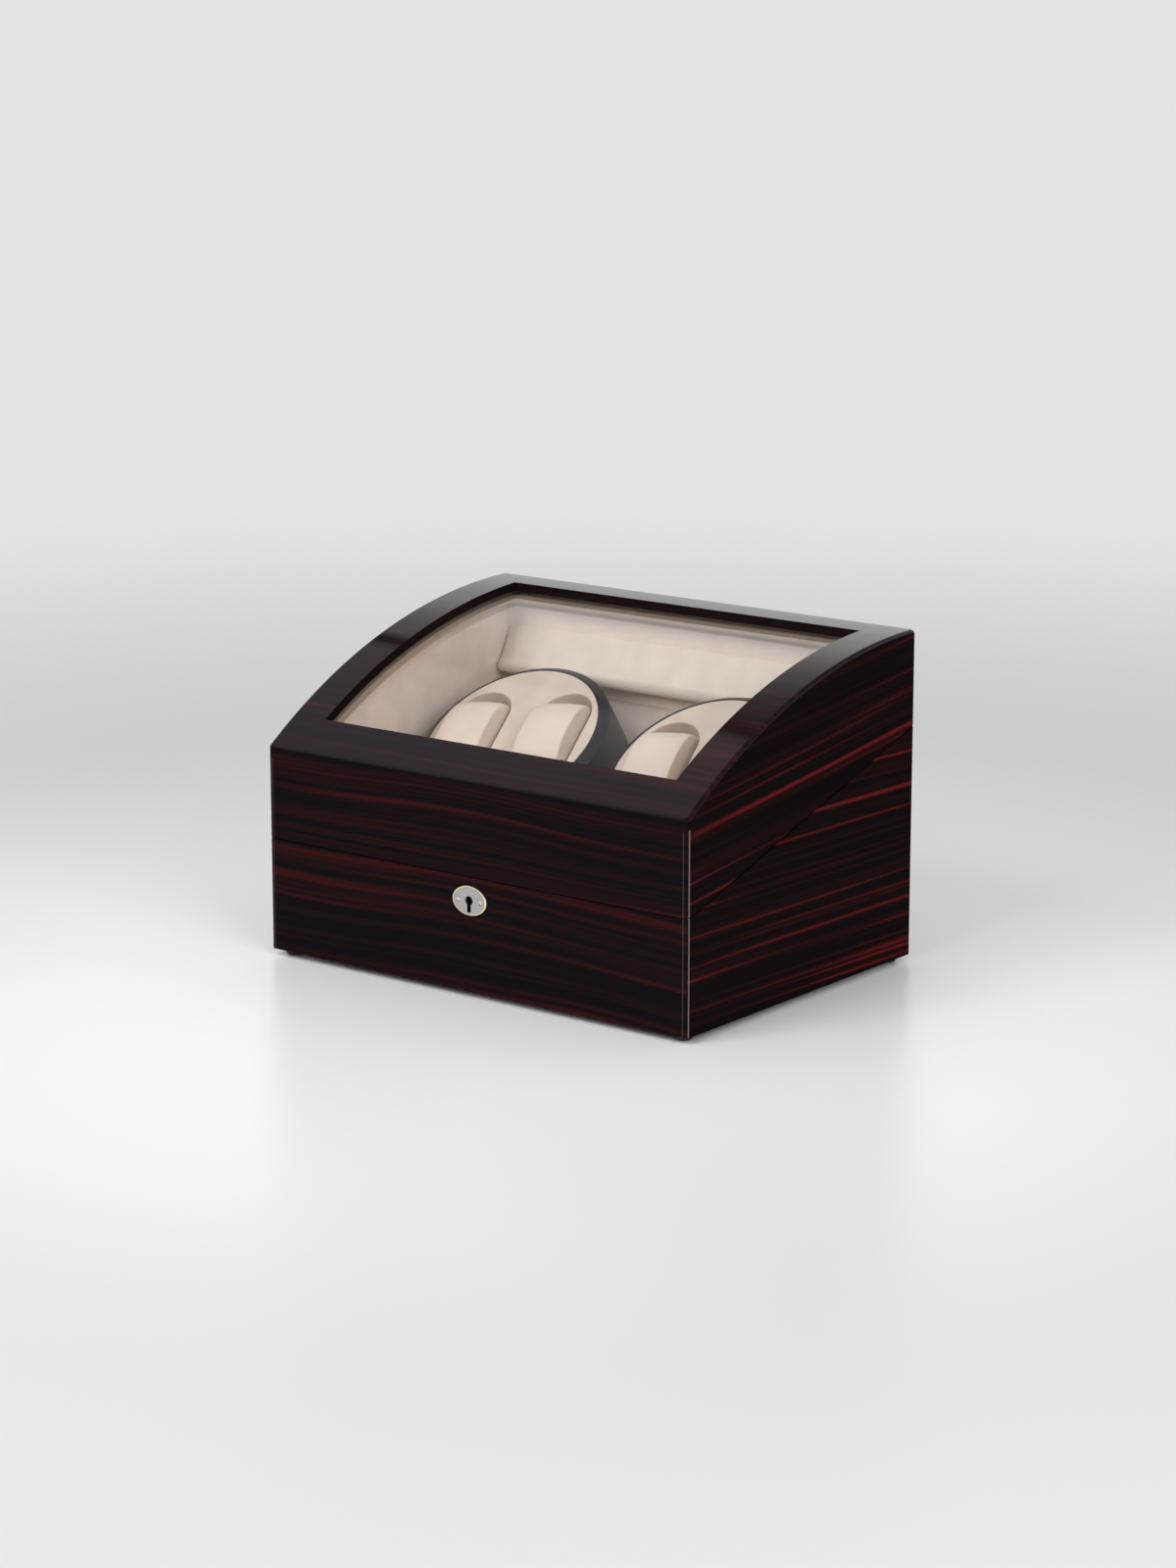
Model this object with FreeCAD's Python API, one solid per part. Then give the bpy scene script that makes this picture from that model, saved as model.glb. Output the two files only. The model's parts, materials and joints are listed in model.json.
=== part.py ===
"""Watch winder box: a lacquered wooden case with a sloping, arched lid over two tilted turntables.

Every shape is drawn in the case frame, in millimetres: x to the right, y to the back, z up,
with z = 0 at the underside of the case boards. save() lifts it onto its feet and centres it.
"""
import FreeCAD
import Part
import math
import os

# Case, outside
CASE_WIDTH = 340.0
CASE_DEPTH = 246.0
FRONT_RIM_HEIGHT = 74.3
REAR_RIM_HEIGHT = 153.3
FRONT_TOP_HEIGHT = 136.0
REAR_TOP_HEIGHT = 215.8
CORNER_ROUND = 4.0
TOP_EDGE_ROUND = 3.0

# Boards and linings
BOARD = 10.0
TOP_BOARD = 6.0
FLOOR_BOARD = 6.0
FLOOR_RECESS = 2.0
LINING = 2.0
RIM_GAP = 0.4
RIM_CHAMFER = 0.5
GLUE_LINE = 0.05

# Window in the lid
FRONT_RAIL = 25.0
REAR_RAIL = 24.0
STILE = 28.0
PANE = 3.0
PANE_LAP = 7.0
PANE_AIR = 0.1
RETAINER = 4.5
RETAINER_AIR = 0.3

# Padded bolster on the lid's back wall
PAD_TOP_GAP = 16.5
PAD_DEPTH = 20.0
PAD_NOSE_HEIGHT = 11.0
PAD_NOSE_ROUND = 6.0
PAD_RIM_AIR = 0.6
PAD_END_AIR = 0.5
PAD_END_TUCK = 1.5
PAD_END_RUN = 12.0

# Feet
FOOT_HEIGHT = 4.5
FOOT_RADIUS = 6.0
FOOT_TAPER = 0.8
FOOT_ROUND = 1.5
FOOT_INSET = 11.0

# Turntables: their tilt, the room beside and between the drums, and how far the face centre lies
# from the lined back wall and above the rim
TILT = 35.0
DRUM_SIDE_AIR = 11.0
DRUM_MIDDLE_AIR = 18.0
FACE_BACK = 97.2
FACE_RISE = 12.2
REST_TURN = 9.0
FACE_AIR = 0.1
FACE_PLATE = 2.5
DRUM_RIM = 6.7
DRUM_RIM_PROUD = 0.3
DRUM_RIM_LIP = 1.0
DRUM_RIM_FALL = 4.0
DRUM_RIM_ROUND = 1.0
DRUM_LEDGE = 1.5
DRUM_DEPTH = 44.0
DRUM_BACK = 3.0
DRUM_HEEL_ROUND = 3.0
HUB_RADIUS = 9.0
HUB_HEIGHT = 1.8
BOSS_RADIUS = 5.0
BOSS_HEIGHT = 6.0

# Pockets in the turntable faces, and the cushions in them
POCKET_MIDDLE = 21.5
POCKET_SIDE_EDGE = 10.05
POCKET_END_EDGE = 3.83
POCKET_WALL = 1.5
POCKET_LIP = 1.0
CUSHION_SIDE_AIR = 2.25
CUSHION_END_AIR = 9.0
CUSHION_HEIGHT = 42.0
CUSHION_CROWN = 12.0
CUSHION_END_ROUND = 15.0
CUSHION_TUCK = 3.0
CUSHION_AIR = 0.3

# Deck, riser and the row of storage cushions in front of them
DECK_CLEARANCE = 3.0
DECK_BOARD = 6.0
BAY_DEPTH = 77.0
STORE_COUNT = 6
STORE_SIDE_AIR = 3.3
STORE_END_AIR = 7.5
STORE_HEIGHT = 44.0
STORE_END_ROUND = 16.0

# Spindles, bushes, belts and motors
SPINDLE_RADIUS = 3.0
PRESS_AIR = 0.02
RUN_AIR = 0.05
BUSH_RADIUS = 5.0
BUSH_FLANGE_RADIUS = 8.0
BUSH_FLANGE = 1.0
PULLEY_RADIUS = 20.0
MOTOR_PULLEY_RADIUS = 8.0
PULLEY_FLANGE = 1.0
PULLEY_LIP = 2.0
PULLEY_DROP = 1.0
BELT_WIDTH = 4.0
BELT = 1.5
BELT_SIDE_AIR = 0.3
BELT_CENTRES = 45.0
SPINDLE_TAIL = 1.5
MOTOR_RADIUS = 12.5
MOTOR_LENGTH = 30.0
MOTOR_ROUND = 1.5
MOTOR_SHAFT_RADIUS = 1.5
MOTOR_SHAFT_GRIP = 5.0
BRACKET_HALF_WIDTH = 14.0
BRACKET_HALF_SPAN = 17.0
BRACKET_SHEET = 1.5
BRACKET_FOOT = 9.0
BRACKET_DROP = 4.0
BRACKET_HOLE_AIR = 0.5

# Lock, in the front board
LOCK_HEIGHT = 59.5
PLATE_HALF_LENGTH = 13.75
PLATE_HALF_HEIGHT = 9.75
PLATE_THICK = 1.6
PLATE_ROUND = 0.8
KEYHOLE_RADIUS = 3.0
KEYHOLE_SLOT = 3.0
KEYHOLE_DROP = 7.6
PLATE_SCREW_OFFSET = 9.0
PLATE_SCREW_RADIUS = 1.0
PLATE_SCREW_HEAD = 1.9
PLATE_SCREW_LENGTH = 5.0
LOCK_WIDTH = 36.0
LOCK_THICK = 6.0
LOCK_DEPTH = 29.0
LOCK_BACK_PLATE = 1.0
BOLT_WIDTH = 14.0
BOLT_THICK = 2.4
BOLT_LENGTH = 11.0
BOLT_TRAVEL = 6.0
BOLT_HEADROOM = 4.0
BOLT_AIR = 0.1
BOLT_REST_DROP = 0.7
STRIKE_WIDTH = 30.0
STRIKE_LENGTH = 8.0
STRIKE_THICK = 1.2
STRIKE_SLOT_AIR = 0.6

# Hinges, on the rim of the back boards
HINGE_OFFSET = 105.0
HINGE_LENGTH = 40.0
HINGE_KNUCKLES = 5
KNUCKLE_RADIUS = 2.5
KNUCKLE_AIR = 0.15
HINGE_PIN_RADIUS = 1.2
LEAF_WIDTH = 8.0
LEAF = 1.2
LEAF_AIR = 0.1
HINGE_SCREW_SPACING = 24.0
HINGE_SCREW_RADIUS = 1.1
HINGE_SCREW_HEAD = 2.0
HINGE_SCREW_LENGTH = 8.0
SCREW_AIR = 0.05

# Switch knobs, switches, circuit board and power socket, at the back
KNOB_OFFSET = 30.0
KNOB_HEIGHT = 80.0
KNOB_RADIUS = 8.0
KNOB_PROUD = 8.5
KNOB_LIFT = 0.5
KNOB_TAPER = 0.6
KNOB_ROUND = 1.0
KNOB_FLUTES = 12
KNOB_FLUTE_RADIUS = 1.0
KNOB_SHAFT_RADIUS = 3.0
SWITCH_SIZE = 14.0
SWITCH_DEPTH = 7.0
SWITCH_GRIP = 5.0
CIRCUIT_WIDTH = 90.0
CIRCUIT_HEIGHT = 40.0
CIRCUIT_BOARD = 1.6
SOCKET_HEIGHT = 42.0
SOCKET_RADIUS = 4.0
SOCKET_FLANGE_RADIUS = 6.0
SOCKET_FLANGE = 1.5
SOCKET_BODY = 12.0
SOCKET_BORE_RADIUS = 3.1
SOCKET_BORE_DEPTH = 9.0
SOCKET_PIN_RADIUS = 1.0

# Sizes that follow from those above
HALF_WIDTH = CASE_WIDTH / 2
HALF_DEPTH = CASE_DEPTH / 2
INNER_X = HALF_WIDTH - BOARD
INNER_Y = HALF_DEPTH - BOARD
LINED_X = INNER_X - LINING
LINED_Y = INNER_Y - LINING
FLOOR_TOP = FLOOR_RECESS + FLOOR_BOARD
TOP_RISE = REAR_TOP_HEIGHT - FRONT_TOP_HEIGHT
TOP_RADIUS = (CASE_DEPTH ** 2 + TOP_RISE ** 2) / (2 * TOP_RISE)
RIM_SLOPE = (REAR_RIM_HEIGHT - FRONT_RIM_HEIGHT) / CASE_DEPTH
RIM_ANGLE = math.degrees(math.atan(RIM_SLOPE))
DRUM_RADIUS = (LINED_X - DRUM_SIDE_AIR - DRUM_MIDDLE_AIR / 2) / 2
FACE_RADIUS = DRUM_RADIUS - DRUM_RIM
SPREAD = DRUM_RADIUS + DRUM_MIDDLE_AIR / 2
FACE_Y = LINED_Y - FACE_BACK
FACE_HEIGHT = FRONT_RIM_HEIGHT + RIM_SLOPE * (FACE_Y + HALF_DEPTH) + FACE_RISE
TILT_TAN = math.tan(math.radians(TILT))
TILT_COS = math.cos(math.radians(TILT))
DECK_LEVEL = -(DRUM_DEPTH + DECK_CLEARANCE)
DECK_UNDER = DECK_LEVEL - DECK_BOARD
PULLEY_TOP = DECK_UNDER - PULLEY_DROP
PULLEY_HEIGHT = BELT_WIDTH + 2 * BELT_SIDE_AIR + 2 * PULLEY_FLANGE
PULLEY_BOTTOM = PULLEY_TOP - PULLEY_HEIGHT
BRACKET_LEVEL = PULLEY_BOTTOM - BRACKET_DROP
MOTOR_TOP = BRACKET_LEVEL - BRACKET_SHEET
POCKET_WIDTH = FACE_RADIUS - POCKET_SIDE_EDGE - POCKET_MIDDLE / 2
POCKET_OFFSET = (POCKET_MIDDLE + POCKET_WIDTH) / 2
POCKET_RUN = math.sqrt((FACE_RADIUS - POCKET_END_EDGE - POCKET_WIDTH / 2) ** 2 - POCKET_OFFSET ** 2)
POCKET_LENGTH = 2 * POCKET_RUN + POCKET_WIDTH
CUSHION_WIDTH = POCKET_WIDTH - 2 * CUSHION_SIDE_AIR
CUSHION_LENGTH = POCKET_LENGTH - 2 * CUSHION_END_AIR
CUSHION_MIDDLE = CUSHION_CROWN - CUSHION_HEIGHT / 2
POCKET_FLOOR = CUSHION_CROWN - CUSHION_HEIGHT - CUSHION_AIR
RISER_FRONT = BAY_DEPTH - LINED_Y
STORE_PITCH = 2 * LINED_X / STORE_COUNT
STORE_WIDTH = STORE_PITCH - 2 * STORE_SIDE_AIR
STORE_LENGTH = BAY_DEPTH - 2 * STORE_END_AIR
WINDOW_X = HALF_WIDTH - STILE
WINDOW_FRONT = -HALF_DEPTH + FRONT_RAIL
WINDOW_REAR = HALF_DEPTH - REAR_RAIL
RETAINER_UNDER = TOP_BOARD + PANE + 2 * PANE_AIR + RETAINER
STRIKE_POCKET = BOLT_TRAVEL + BOLT_HEADROOM
HINGE_Y = HALF_DEPTH + KNUCKLE_RADIUS + LEAF_AIR
CENTRE_SHIFT = (PLATE_THICK - KNOB_PROUD) / 2
TALL = 2 * REAR_TOP_HEIGHT

X_AXIS = FreeCAD.Vector(1, 0, 0)
Y_AXIS = FreeCAD.Vector(0, 1, 0)
Z_AXIS = FreeCAD.Vector(0, 0, 1)
ORIGIN = FreeCAD.Vector(0, 0, 0)


def save(name, shape):
    """Move a finished piece from the case frame onto its feet, and write it."""
    placed = shape.copy()
    placed.translate(FreeCAD.Vector(0, CENTRE_SHIFT, FOOT_HEIGHT))
    placed.exportStep("parts/" + name + ".step")


def block(x0, x1, y0, y1, z0, z1):
    return Part.makeBox(x1 - x0, y1 - y0, z1 - z0, FreeCAD.Vector(x0, y0, z0))


def rod(radius, start, end):
    """A round bar between two points."""
    along = end - start
    return Part.makeCylinder(radius, along.Length, start, along)


def upright(radius, x, y, z0, z1):
    return rod(radius, FreeCAD.Vector(x, y, z0), FreeCAD.Vector(x, y, z1))


def rounded_wire(corners, place):
    """A closed wire through (a, b, radius) corners; place turns (a, b) into a point in space."""
    flat = [FreeCAD.Vector(a, b, 0) for a, b, _ in corners]
    runs = []
    for i, (_, _, radius) in enumerate(corners):
        here = flat[i]
        to_last = (flat[i - 1] - here).normalize()
        to_next = (flat[(i + 1) % len(flat)] - here).normalize()
        half = to_last.getAngle(to_next) / 2
        reach = radius / math.tan(half)
        centre = here + (to_last + to_next).normalize() * (radius / math.sin(half))
        crown = centre + (here - centre).normalize() * radius if radius else here
        runs.append((here + to_last * reach, crown, here + to_next * reach, radius))
    edges = []
    for i, (start, crown, end, radius) in enumerate(runs):
        begin = runs[i - 1][2]
        if (start - begin).Length > 1e-6:
            edges.append(Part.makeLine(place(begin.x, begin.y), place(start.x, start.y)))
        if radius:
            points = [place(p.x, p.y) for p in (start, crown, end)]
            edges.append(Part.Arc(*points).toShape())
    return Part.Wire(edges)


def revolved(corners):
    """A solid turned about the z axis from (radius, height, rounding) corners."""
    wire = rounded_wire(corners, lambda r, z: FreeCAD.Vector(r, 0, z))
    return Part.Face(wire).revolve(ORIGIN, Z_AXIS, 360)


def side_prism(corners, x0, x1):
    """A side profile of (y, z) corners, drawn out from x0 to x1."""
    rounded = [(y, z, 0) for y, z in corners]
    wire = rounded_wire(rounded, lambda y, z: FreeCAD.Vector(x0, y, z))
    return Part.Face(wire).extrude(FreeCAD.Vector(x1 - x0, 0, 0))


def plan_block(z0, z1):
    """The case's outline seen from above, with rounded corners."""
    corners = [
        (-HALF_WIDTH, -HALF_DEPTH, CORNER_ROUND),
        (HALF_WIDTH, -HALF_DEPTH, CORNER_ROUND),
        (HALF_WIDTH, HALF_DEPTH, CORNER_ROUND),
        (-HALF_WIDTH, HALF_DEPTH, CORNER_ROUND),
    ]
    wire = rounded_wire(corners, lambda x, y: FreeCAD.Vector(x, y, z0))
    return Part.Face(wire).extrude(FreeCAD.Vector(0, 0, z1 - z0))


def rim_z(y):
    """Height of the sloping line where lid and case part."""
    return FRONT_RIM_HEIGHT + RIM_SLOPE * (y + HALF_DEPTH)


def top_point(x, y, depth):
    """A point on the arch of the lid, or on one that lies that far below it."""
    radius = TOP_RADIUS - depth
    z = REAR_TOP_HEIGHT - TOP_RADIUS + math.sqrt(radius ** 2 - (y - HALF_DEPTH) ** 2)
    return FreeCAD.Vector(x, y, z)


def top_arc(x, y0, y1, depth):
    points = [top_point(x, y, depth) for y in (y0, (y0 + y1) / 2, y1)]
    return Part.Arc(*points).toShape()


def arched(depth_top, depth_under, x0, x1, y0, y1):
    """A curved board between two depths below the arch of the lid."""
    edges = [
        top_arc(x0, y0, y1, depth_top),
        Part.makeLine(top_point(x0, y1, depth_top), top_point(x0, y1, depth_under)),
        top_arc(x0, y1, y0, depth_under),
        Part.makeLine(top_point(x0, y0, depth_under), top_point(x0, y0, depth_top)),
    ]
    return Part.Face(Part.Wire(edges)).extrude(FreeCAD.Vector(x1 - x0, 0, 0))


def lid_block(depth, x0, x1, y0, y1):
    """Everything between the rim and a depth below the arch of the lid."""
    low_front = FreeCAD.Vector(x0, y0, rim_z(y0) + RIM_GAP / 2)
    low_rear = FreeCAD.Vector(x0, y1, rim_z(y1) + RIM_GAP / 2)
    edges = [
        top_arc(x0, y0, y1, depth),
        Part.makeLine(top_point(x0, y1, depth), low_rear),
        Part.makeLine(low_rear, low_front),
        Part.makeLine(low_front, top_point(x0, y0, depth)),
    ]
    return Part.Face(Part.Wire(edges)).extrude(FreeCAD.Vector(x1 - x0, 0, 0))


def chamfer_rim(ring, offset):
    """Break the outer edge of a ring of boards along the parting line."""
    outer = []
    for edge in ring.Edges:
        points = [v.Point for v in edge.Vertexes]
        on_rim = all(abs(p.z - rim_z(p.y) - offset) < 1e-4 for p in points)
        outside = all(abs(p.x) > INNER_X + 0.1 or abs(p.y) > INNER_Y + 0.1 for p in points)
        if on_rim and outside:
            outer.append(edge)
    return ring.makeChamfer(RIM_CHAMFER, outer)


def split_boards(ring):
    """Cut a ring of boards at its mitred corners."""
    reach = BOARD + CORNER_ROUND
    out_x, out_y = HALF_WIDTH, HALF_DEPTH
    in_x, in_y = HALF_WIDTH - reach, HALF_DEPTH - reach
    plans = {
        "front": [(-out_x, -out_y), (out_x, -out_y), (in_x, -in_y), (-in_x, -in_y)],
        "right": [(out_x, -out_y), (out_x, out_y), (in_x, in_y), (in_x, -in_y)],
        "back": [(out_x, out_y), (-out_x, out_y), (-in_x, in_y), (in_x, in_y)],
        "left": [(-out_x, out_y), (-out_x, -out_y), (-in_x, -in_y), (-in_x, in_y)],
    }
    boards = {}
    for side, plan in plans.items():
        corners = [(x, y, 0) for x, y in plan]
        wire = rounded_wire(corners, lambda x, y: FreeCAD.Vector(x, y, -BOARD))
        region = Part.Face(wire).extrude(FreeCAD.Vector(0, 0, TALL))
        boards[side] = ring.common(region)
    return boards


def base_boards():
    """The four mitred boards of the case, cut off along the sloping rim."""
    front, rear = rim_z(-HALF_DEPTH) - RIM_GAP / 2, rim_z(HALF_DEPTH) - RIM_GAP / 2
    profile = [(-HALF_DEPTH, 0), (HALF_DEPTH, 0), (HALF_DEPTH, rear), (-HALF_DEPTH, front)]
    ring = plan_block(0, TALL).common(side_prism(profile, -HALF_WIDTH, HALF_WIDTH))
    ring = ring.cut(block(-INNER_X, INNER_X, -INNER_Y, INNER_Y, -BOARD, TALL))
    return split_boards(chamfer_rim(ring, -RIM_GAP / 2))


def lid_boards():
    """The four mitred boards of the lid, under its arched top."""
    solid = lid_block(TOP_BOARD + GLUE_LINE, -HALF_WIDTH, HALF_WIDTH, -HALF_DEPTH, HALF_DEPTH)
    ring = plan_block(0, TALL).common(solid)
    ring = ring.cut(block(-INNER_X, INNER_X, -INNER_Y, INNER_Y, -BOARD, TALL))
    return split_boards(chamfer_rim(ring, RIM_GAP / 2))


def window_hole():
    return block(-WINDOW_X, WINDOW_X, WINDOW_FRONT, WINDOW_REAR, 0, TALL)


def lid_top_frame():
    """The arched top board, with its edges rounded and the window cut out of it."""
    board = arched(0, TOP_BOARD, -HALF_WIDTH, HALF_WIDTH, -HALF_DEPTH, HALF_DEPTH)
    board = board.common(plan_block(0, TALL))
    upper = []
    for edge in board.Edges:
        points = [v.Point for v in edge.Vertexes]
        if all(abs(p.z - top_point(0, p.y, 0).z) < 1e-4 for p in points):
            upper.append(edge)
    return board.makeFillet(TOP_EDGE_ROUND, upper).cut(window_hole())


def window_pane():
    top = TOP_BOARD + PANE_AIR
    return arched(
        top, top + PANE,
        -WINDOW_X - PANE_LAP, WINDOW_X + PANE_LAP,
        WINDOW_FRONT - PANE_LAP, WINDOW_REAR + PANE_LAP,
    )


def window_retainer():
    """The covered frame that holds the pane up against the top board."""
    reach = PANE_LAP + PANE_AIR
    outside_x = LINED_X - RETAINER_AIR
    outside_y = LINED_Y - RETAINER_AIR
    under = RETAINER_UNDER - RETAINER
    frame = arched(TOP_BOARD + GLUE_LINE, RETAINER_UNDER, -outside_x, outside_x, -outside_y, outside_y)
    rebate = arched(
        0, under,
        -WINDOW_X - reach, WINDOW_X + reach,
        WINDOW_FRONT - reach, WINDOW_REAR + reach,
    )
    return frame.cut(rebate).cut(window_hole())


def lining_ring(region):
    ring = block(-INNER_X, INNER_X, -INNER_Y, INNER_Y, 0, TALL)
    ring = ring.cut(block(-LINED_X, LINED_X, -LINED_Y, LINED_Y, -BOARD, 2 * TALL))
    return ring.common(region)


def lid_lining():
    return lining_ring(lid_block(TOP_BOARD + GLUE_LINE, -INNER_X, INNER_X, -INNER_Y, INNER_Y))


def lid_back_pad():
    """A padded bolster: it slopes forward from the wall, and turns under in a round nose."""
    def section(x, tuck):
        rear = LINED_Y
        nose_y = rear - PAD_DEPTH + tuck
        under = rim_z(rear) + RIM_GAP / 2 + PAD_RIM_AIR + tuck
        corners = [
            (rear, under, 0),
            (rear, top_point(x, rear, RETAINER_UNDER).z - PAD_TOP_GAP - tuck, 0),
            (nose_y, rim_z(nose_y) + PAD_NOSE_HEIGHT, PAD_NOSE_ROUND),
            (nose_y + PAD_NOSE_ROUND, rim_z(nose_y) + RIM_GAP + PAD_RIM_AIR + tuck + PAD_RIM_AIR, 0),
        ]
        return rounded_wire(corners, lambda y, z: FreeCAD.Vector(x, y, z))

    end = LINED_X - PAD_END_AIR
    stations = [-end, -end + PAD_END_RUN, 0, end - PAD_END_RUN, end]
    tucks = [PAD_END_TUCK, 0, 0, 0, PAD_END_TUCK]
    return Part.makeLoft([section(x, tuck) for x, tuck in zip(stations, tucks)], True, True)


def deck_z(y, level):
    """Height of a plane parallel to the turntable faces, at a level along their axis."""
    return FACE_HEIGHT + (y - FACE_Y) * TILT_TAN + level / TILT_COS


def deck():
    """The sloping board that carries the turntables, with a hole for each bush."""
    corners = [
        (RISER_FRONT, deck_z(RISER_FRONT, DECK_LEVEL)),
        (RISER_FRONT, deck_z(RISER_FRONT, DECK_UNDER)),
        (INNER_Y, deck_z(INNER_Y, DECK_UNDER)),
        (INNER_Y, deck_z(INNER_Y, DECK_LEVEL)),
    ]
    board = side_prism(corners, -INNER_X, INNER_X)
    for side in (-1, 1):
        hole = upright(BUSH_RADIUS + PRESS_AIR, 0, 0, DECK_UNDER - 1, DECK_LEVEL + 1)
        board = board.cut(on_deck(hole, side))
    return board


def riser():
    """The upright board under the deck's front edge, behind the storage cushions."""
    rear = RISER_FRONT + DECK_BOARD
    corners = [
        (RISER_FRONT, FLOOR_TOP),
        (rear, FLOOR_TOP),
        (rear, deck_z(rear, DECK_UNDER)),
        (RISER_FRONT, deck_z(RISER_FRONT, DECK_UNDER)),
    ]
    return side_prism(corners, -INNER_X, INNER_X)


def base_lining():
    """Covered card on the walls above the deck and round the storage bay, and on its floor."""
    corners = [
        (-INNER_Y, FLOOR_TOP),
        (RISER_FRONT, FLOOR_TOP),
        (RISER_FRONT, deck_z(RISER_FRONT, DECK_LEVEL)),
        (INNER_Y, deck_z(INNER_Y, DECK_LEVEL)),
        (INNER_Y, rim_z(INNER_Y) - RIM_GAP / 2),
        (-INNER_Y, rim_z(-INNER_Y) - RIM_GAP / 2),
    ]
    walls = lining_ring(side_prism(corners, -INNER_X, INNER_X))
    floor = block(-LINED_X, LINED_X, -LINED_Y, RISER_FRONT, FLOOR_TOP, FLOOR_TOP + LINING)
    return walls.fuse(floor).removeSplitter()


def base_floor():
    return block(-INNER_X, INNER_X, -INNER_Y, INNER_Y, FLOOR_RECESS, FLOOR_TOP)


def feet():
    """Four rubber bumpers, a little narrower at the ground."""
    low = FOOT_RADIUS - FOOT_TAPER
    foot = revolved([(0, 0, 0), (FOOT_RADIUS, 0, 0), (low, -FOOT_HEIGHT, FOOT_ROUND), (0, -FOOT_HEIGHT, 0)])
    group = []
    for x in (-1, 1):
        for y in (-1, 1):
            one = foot.copy()
            one.translate(FreeCAD.Vector(x * (HALF_WIDTH - FOOT_INSET), y * (HALF_DEPTH - FOOT_INSET), 0))
            group.append(one)
    return Part.makeCompound(group)


def oval_wire(half_length, half_height, end_round, place):
    """An oval of four arcs that run smoothly into each other."""
    end_centre = half_length - end_round
    drop = (end_centre ** 2 - (half_height - end_round) ** 2) / (2 * (half_height - end_round))
    top_round = half_height + drop
    share = top_round / math.hypot(end_centre, drop)
    meet_a, meet_b = end_centre * share, drop * share - drop
    loop = [(-meet_a, meet_b), (0, half_height), (meet_a, meet_b), (half_length, 0), (meet_a, -meet_b),
            (0, -half_height), (-meet_a, -meet_b), (-half_length, 0), (-meet_a, meet_b)]
    points = [place(a, b) for a, b in loop]
    arcs = [Part.Arc(*points[i:i + 3]).toShape() for i in range(0, 8, 2)]
    return Part.Wire(arcs)


def cushion(width, length, height, end_round):
    """A wrist-shaped cushion: an oval drawn out across x, full in the middle, drawn in at its ends."""
    def section(x, tuck):
        return oval_wire(
            length / 2 - tuck, height / 2 - tuck, end_round - tuck,
            lambda a, b: FreeCAD.Vector(x, a, b),
        )

    half = width / 2
    shoulder = half - 2 * CUSHION_TUCK
    stations = [-half, -shoulder, 0, shoulder, half]
    tucks = [CUSHION_TUCK, CUSHION_TUCK / 4, 0, CUSHION_TUCK / 4, CUSHION_TUCK]
    return Part.makeLoft([section(x, tuck) for x, tuck in zip(stations, tucks)], True, False)


def storage_cushion(index):
    piece = cushion(STORE_WIDTH, STORE_LENGTH, STORE_HEIGHT, STORE_END_ROUND)
    middle = (RISER_FRONT - LINED_Y) / 2
    height = FLOOR_TOP + LINING + CUSHION_AIR + STORE_HEIGHT / 2
    piece.translate(FreeCAD.Vector((index + 0.5) * STORE_PITCH - LINED_X, middle, height))
    return piece


def on_deck(shape, side):
    """Place a shape drawn about a turntable's axis, with z along it and z = 0 at the face."""
    placed = shape.copy()
    placed.rotate(ORIGIN, X_AXIS, TILT)
    placed.translate(FreeCAD.Vector(side * SPREAD, FACE_Y, FACE_HEIGHT))
    return placed


def on_turntable(shape, side):
    """As on_deck, but turned with the turntable as it stands at rest."""
    turned = shape.copy()
    turned.rotate(ORIGIN, Z_AXIS, REST_TURN)
    return on_deck(turned, side)


def drum():
    """The moulded cup of a turntable: a sloping rim, a ledge for its face, a hub for its spindle."""
    bore = SPINDLE_RADIUS + PRESS_AIR
    inside = FACE_RADIUS
    floor = -DRUM_DEPTH + DRUM_BACK
    return revolved([
        (bore, -DRUM_DEPTH - HUB_HEIGHT, 0),
        (HUB_RADIUS, -DRUM_DEPTH - HUB_HEIGHT, 0),
        (HUB_RADIUS, -DRUM_DEPTH, 0),
        (DRUM_RADIUS, -DRUM_DEPTH, DRUM_HEEL_ROUND),
        (DRUM_RADIUS, -DRUM_RIM_FALL, DRUM_RIM_ROUND),
        (inside + DRUM_RIM_LIP, DRUM_RIM_PROUD, DRUM_RIM_LIP / 2),
        (inside, DRUM_RIM_PROUD, 0),
        (inside, -FACE_PLATE, 0),
        (inside - DRUM_LEDGE, -FACE_PLATE, 0),
        (inside - DRUM_LEDGE, floor, 0),
        (BOSS_RADIUS, floor, 0),
        (BOSS_RADIUS, floor + BOSS_HEIGHT, 0),
        (bore, floor + BOSS_HEIGHT, 0),
    ])


def pocket(side, grow, z0, z1):
    """A long round-ended hole beside the middle of a turntable face."""
    radius = POCKET_WIDTH / 2 + grow
    x = side * POCKET_OFFSET
    ends = [upright(radius, x, y, z0, z1) for y in (-POCKET_RUN, POCKET_RUN)]
    return block(x - radius, x + radius, -POCKET_RUN, POCKET_RUN, z0, z1).fuse(ends).removeSplitter()


def face():
    """The covered face of a turntable: a disc with two sunk pockets for cushions."""
    plate = upright(FACE_RADIUS - FACE_AIR, 0, 0, -FACE_PLATE, 0)
    for side in (-1, 1):
        plate = plate.fuse(pocket(side, POCKET_WALL, POCKET_FLOOR - POCKET_WALL, -FACE_PLATE / 2))
    for side in (-1, 1):
        plate = plate.cut(pocket(side, 0, POCKET_FLOOR, FACE_PLATE))
    plate = plate.removeSplitter()
    mouths = []
    for edge in plate.Edges:
        level = all(abs(v.Point.z) < 1e-6 for v in edge.Vertexes)
        inner = all(math.hypot(v.Point.x, v.Point.y) < FACE_RADIUS - 1 for v in edge.Vertexes)
        if level and inner:
            mouths.append(edge)
    return plate.makeFillet(POCKET_LIP, mouths)


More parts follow.
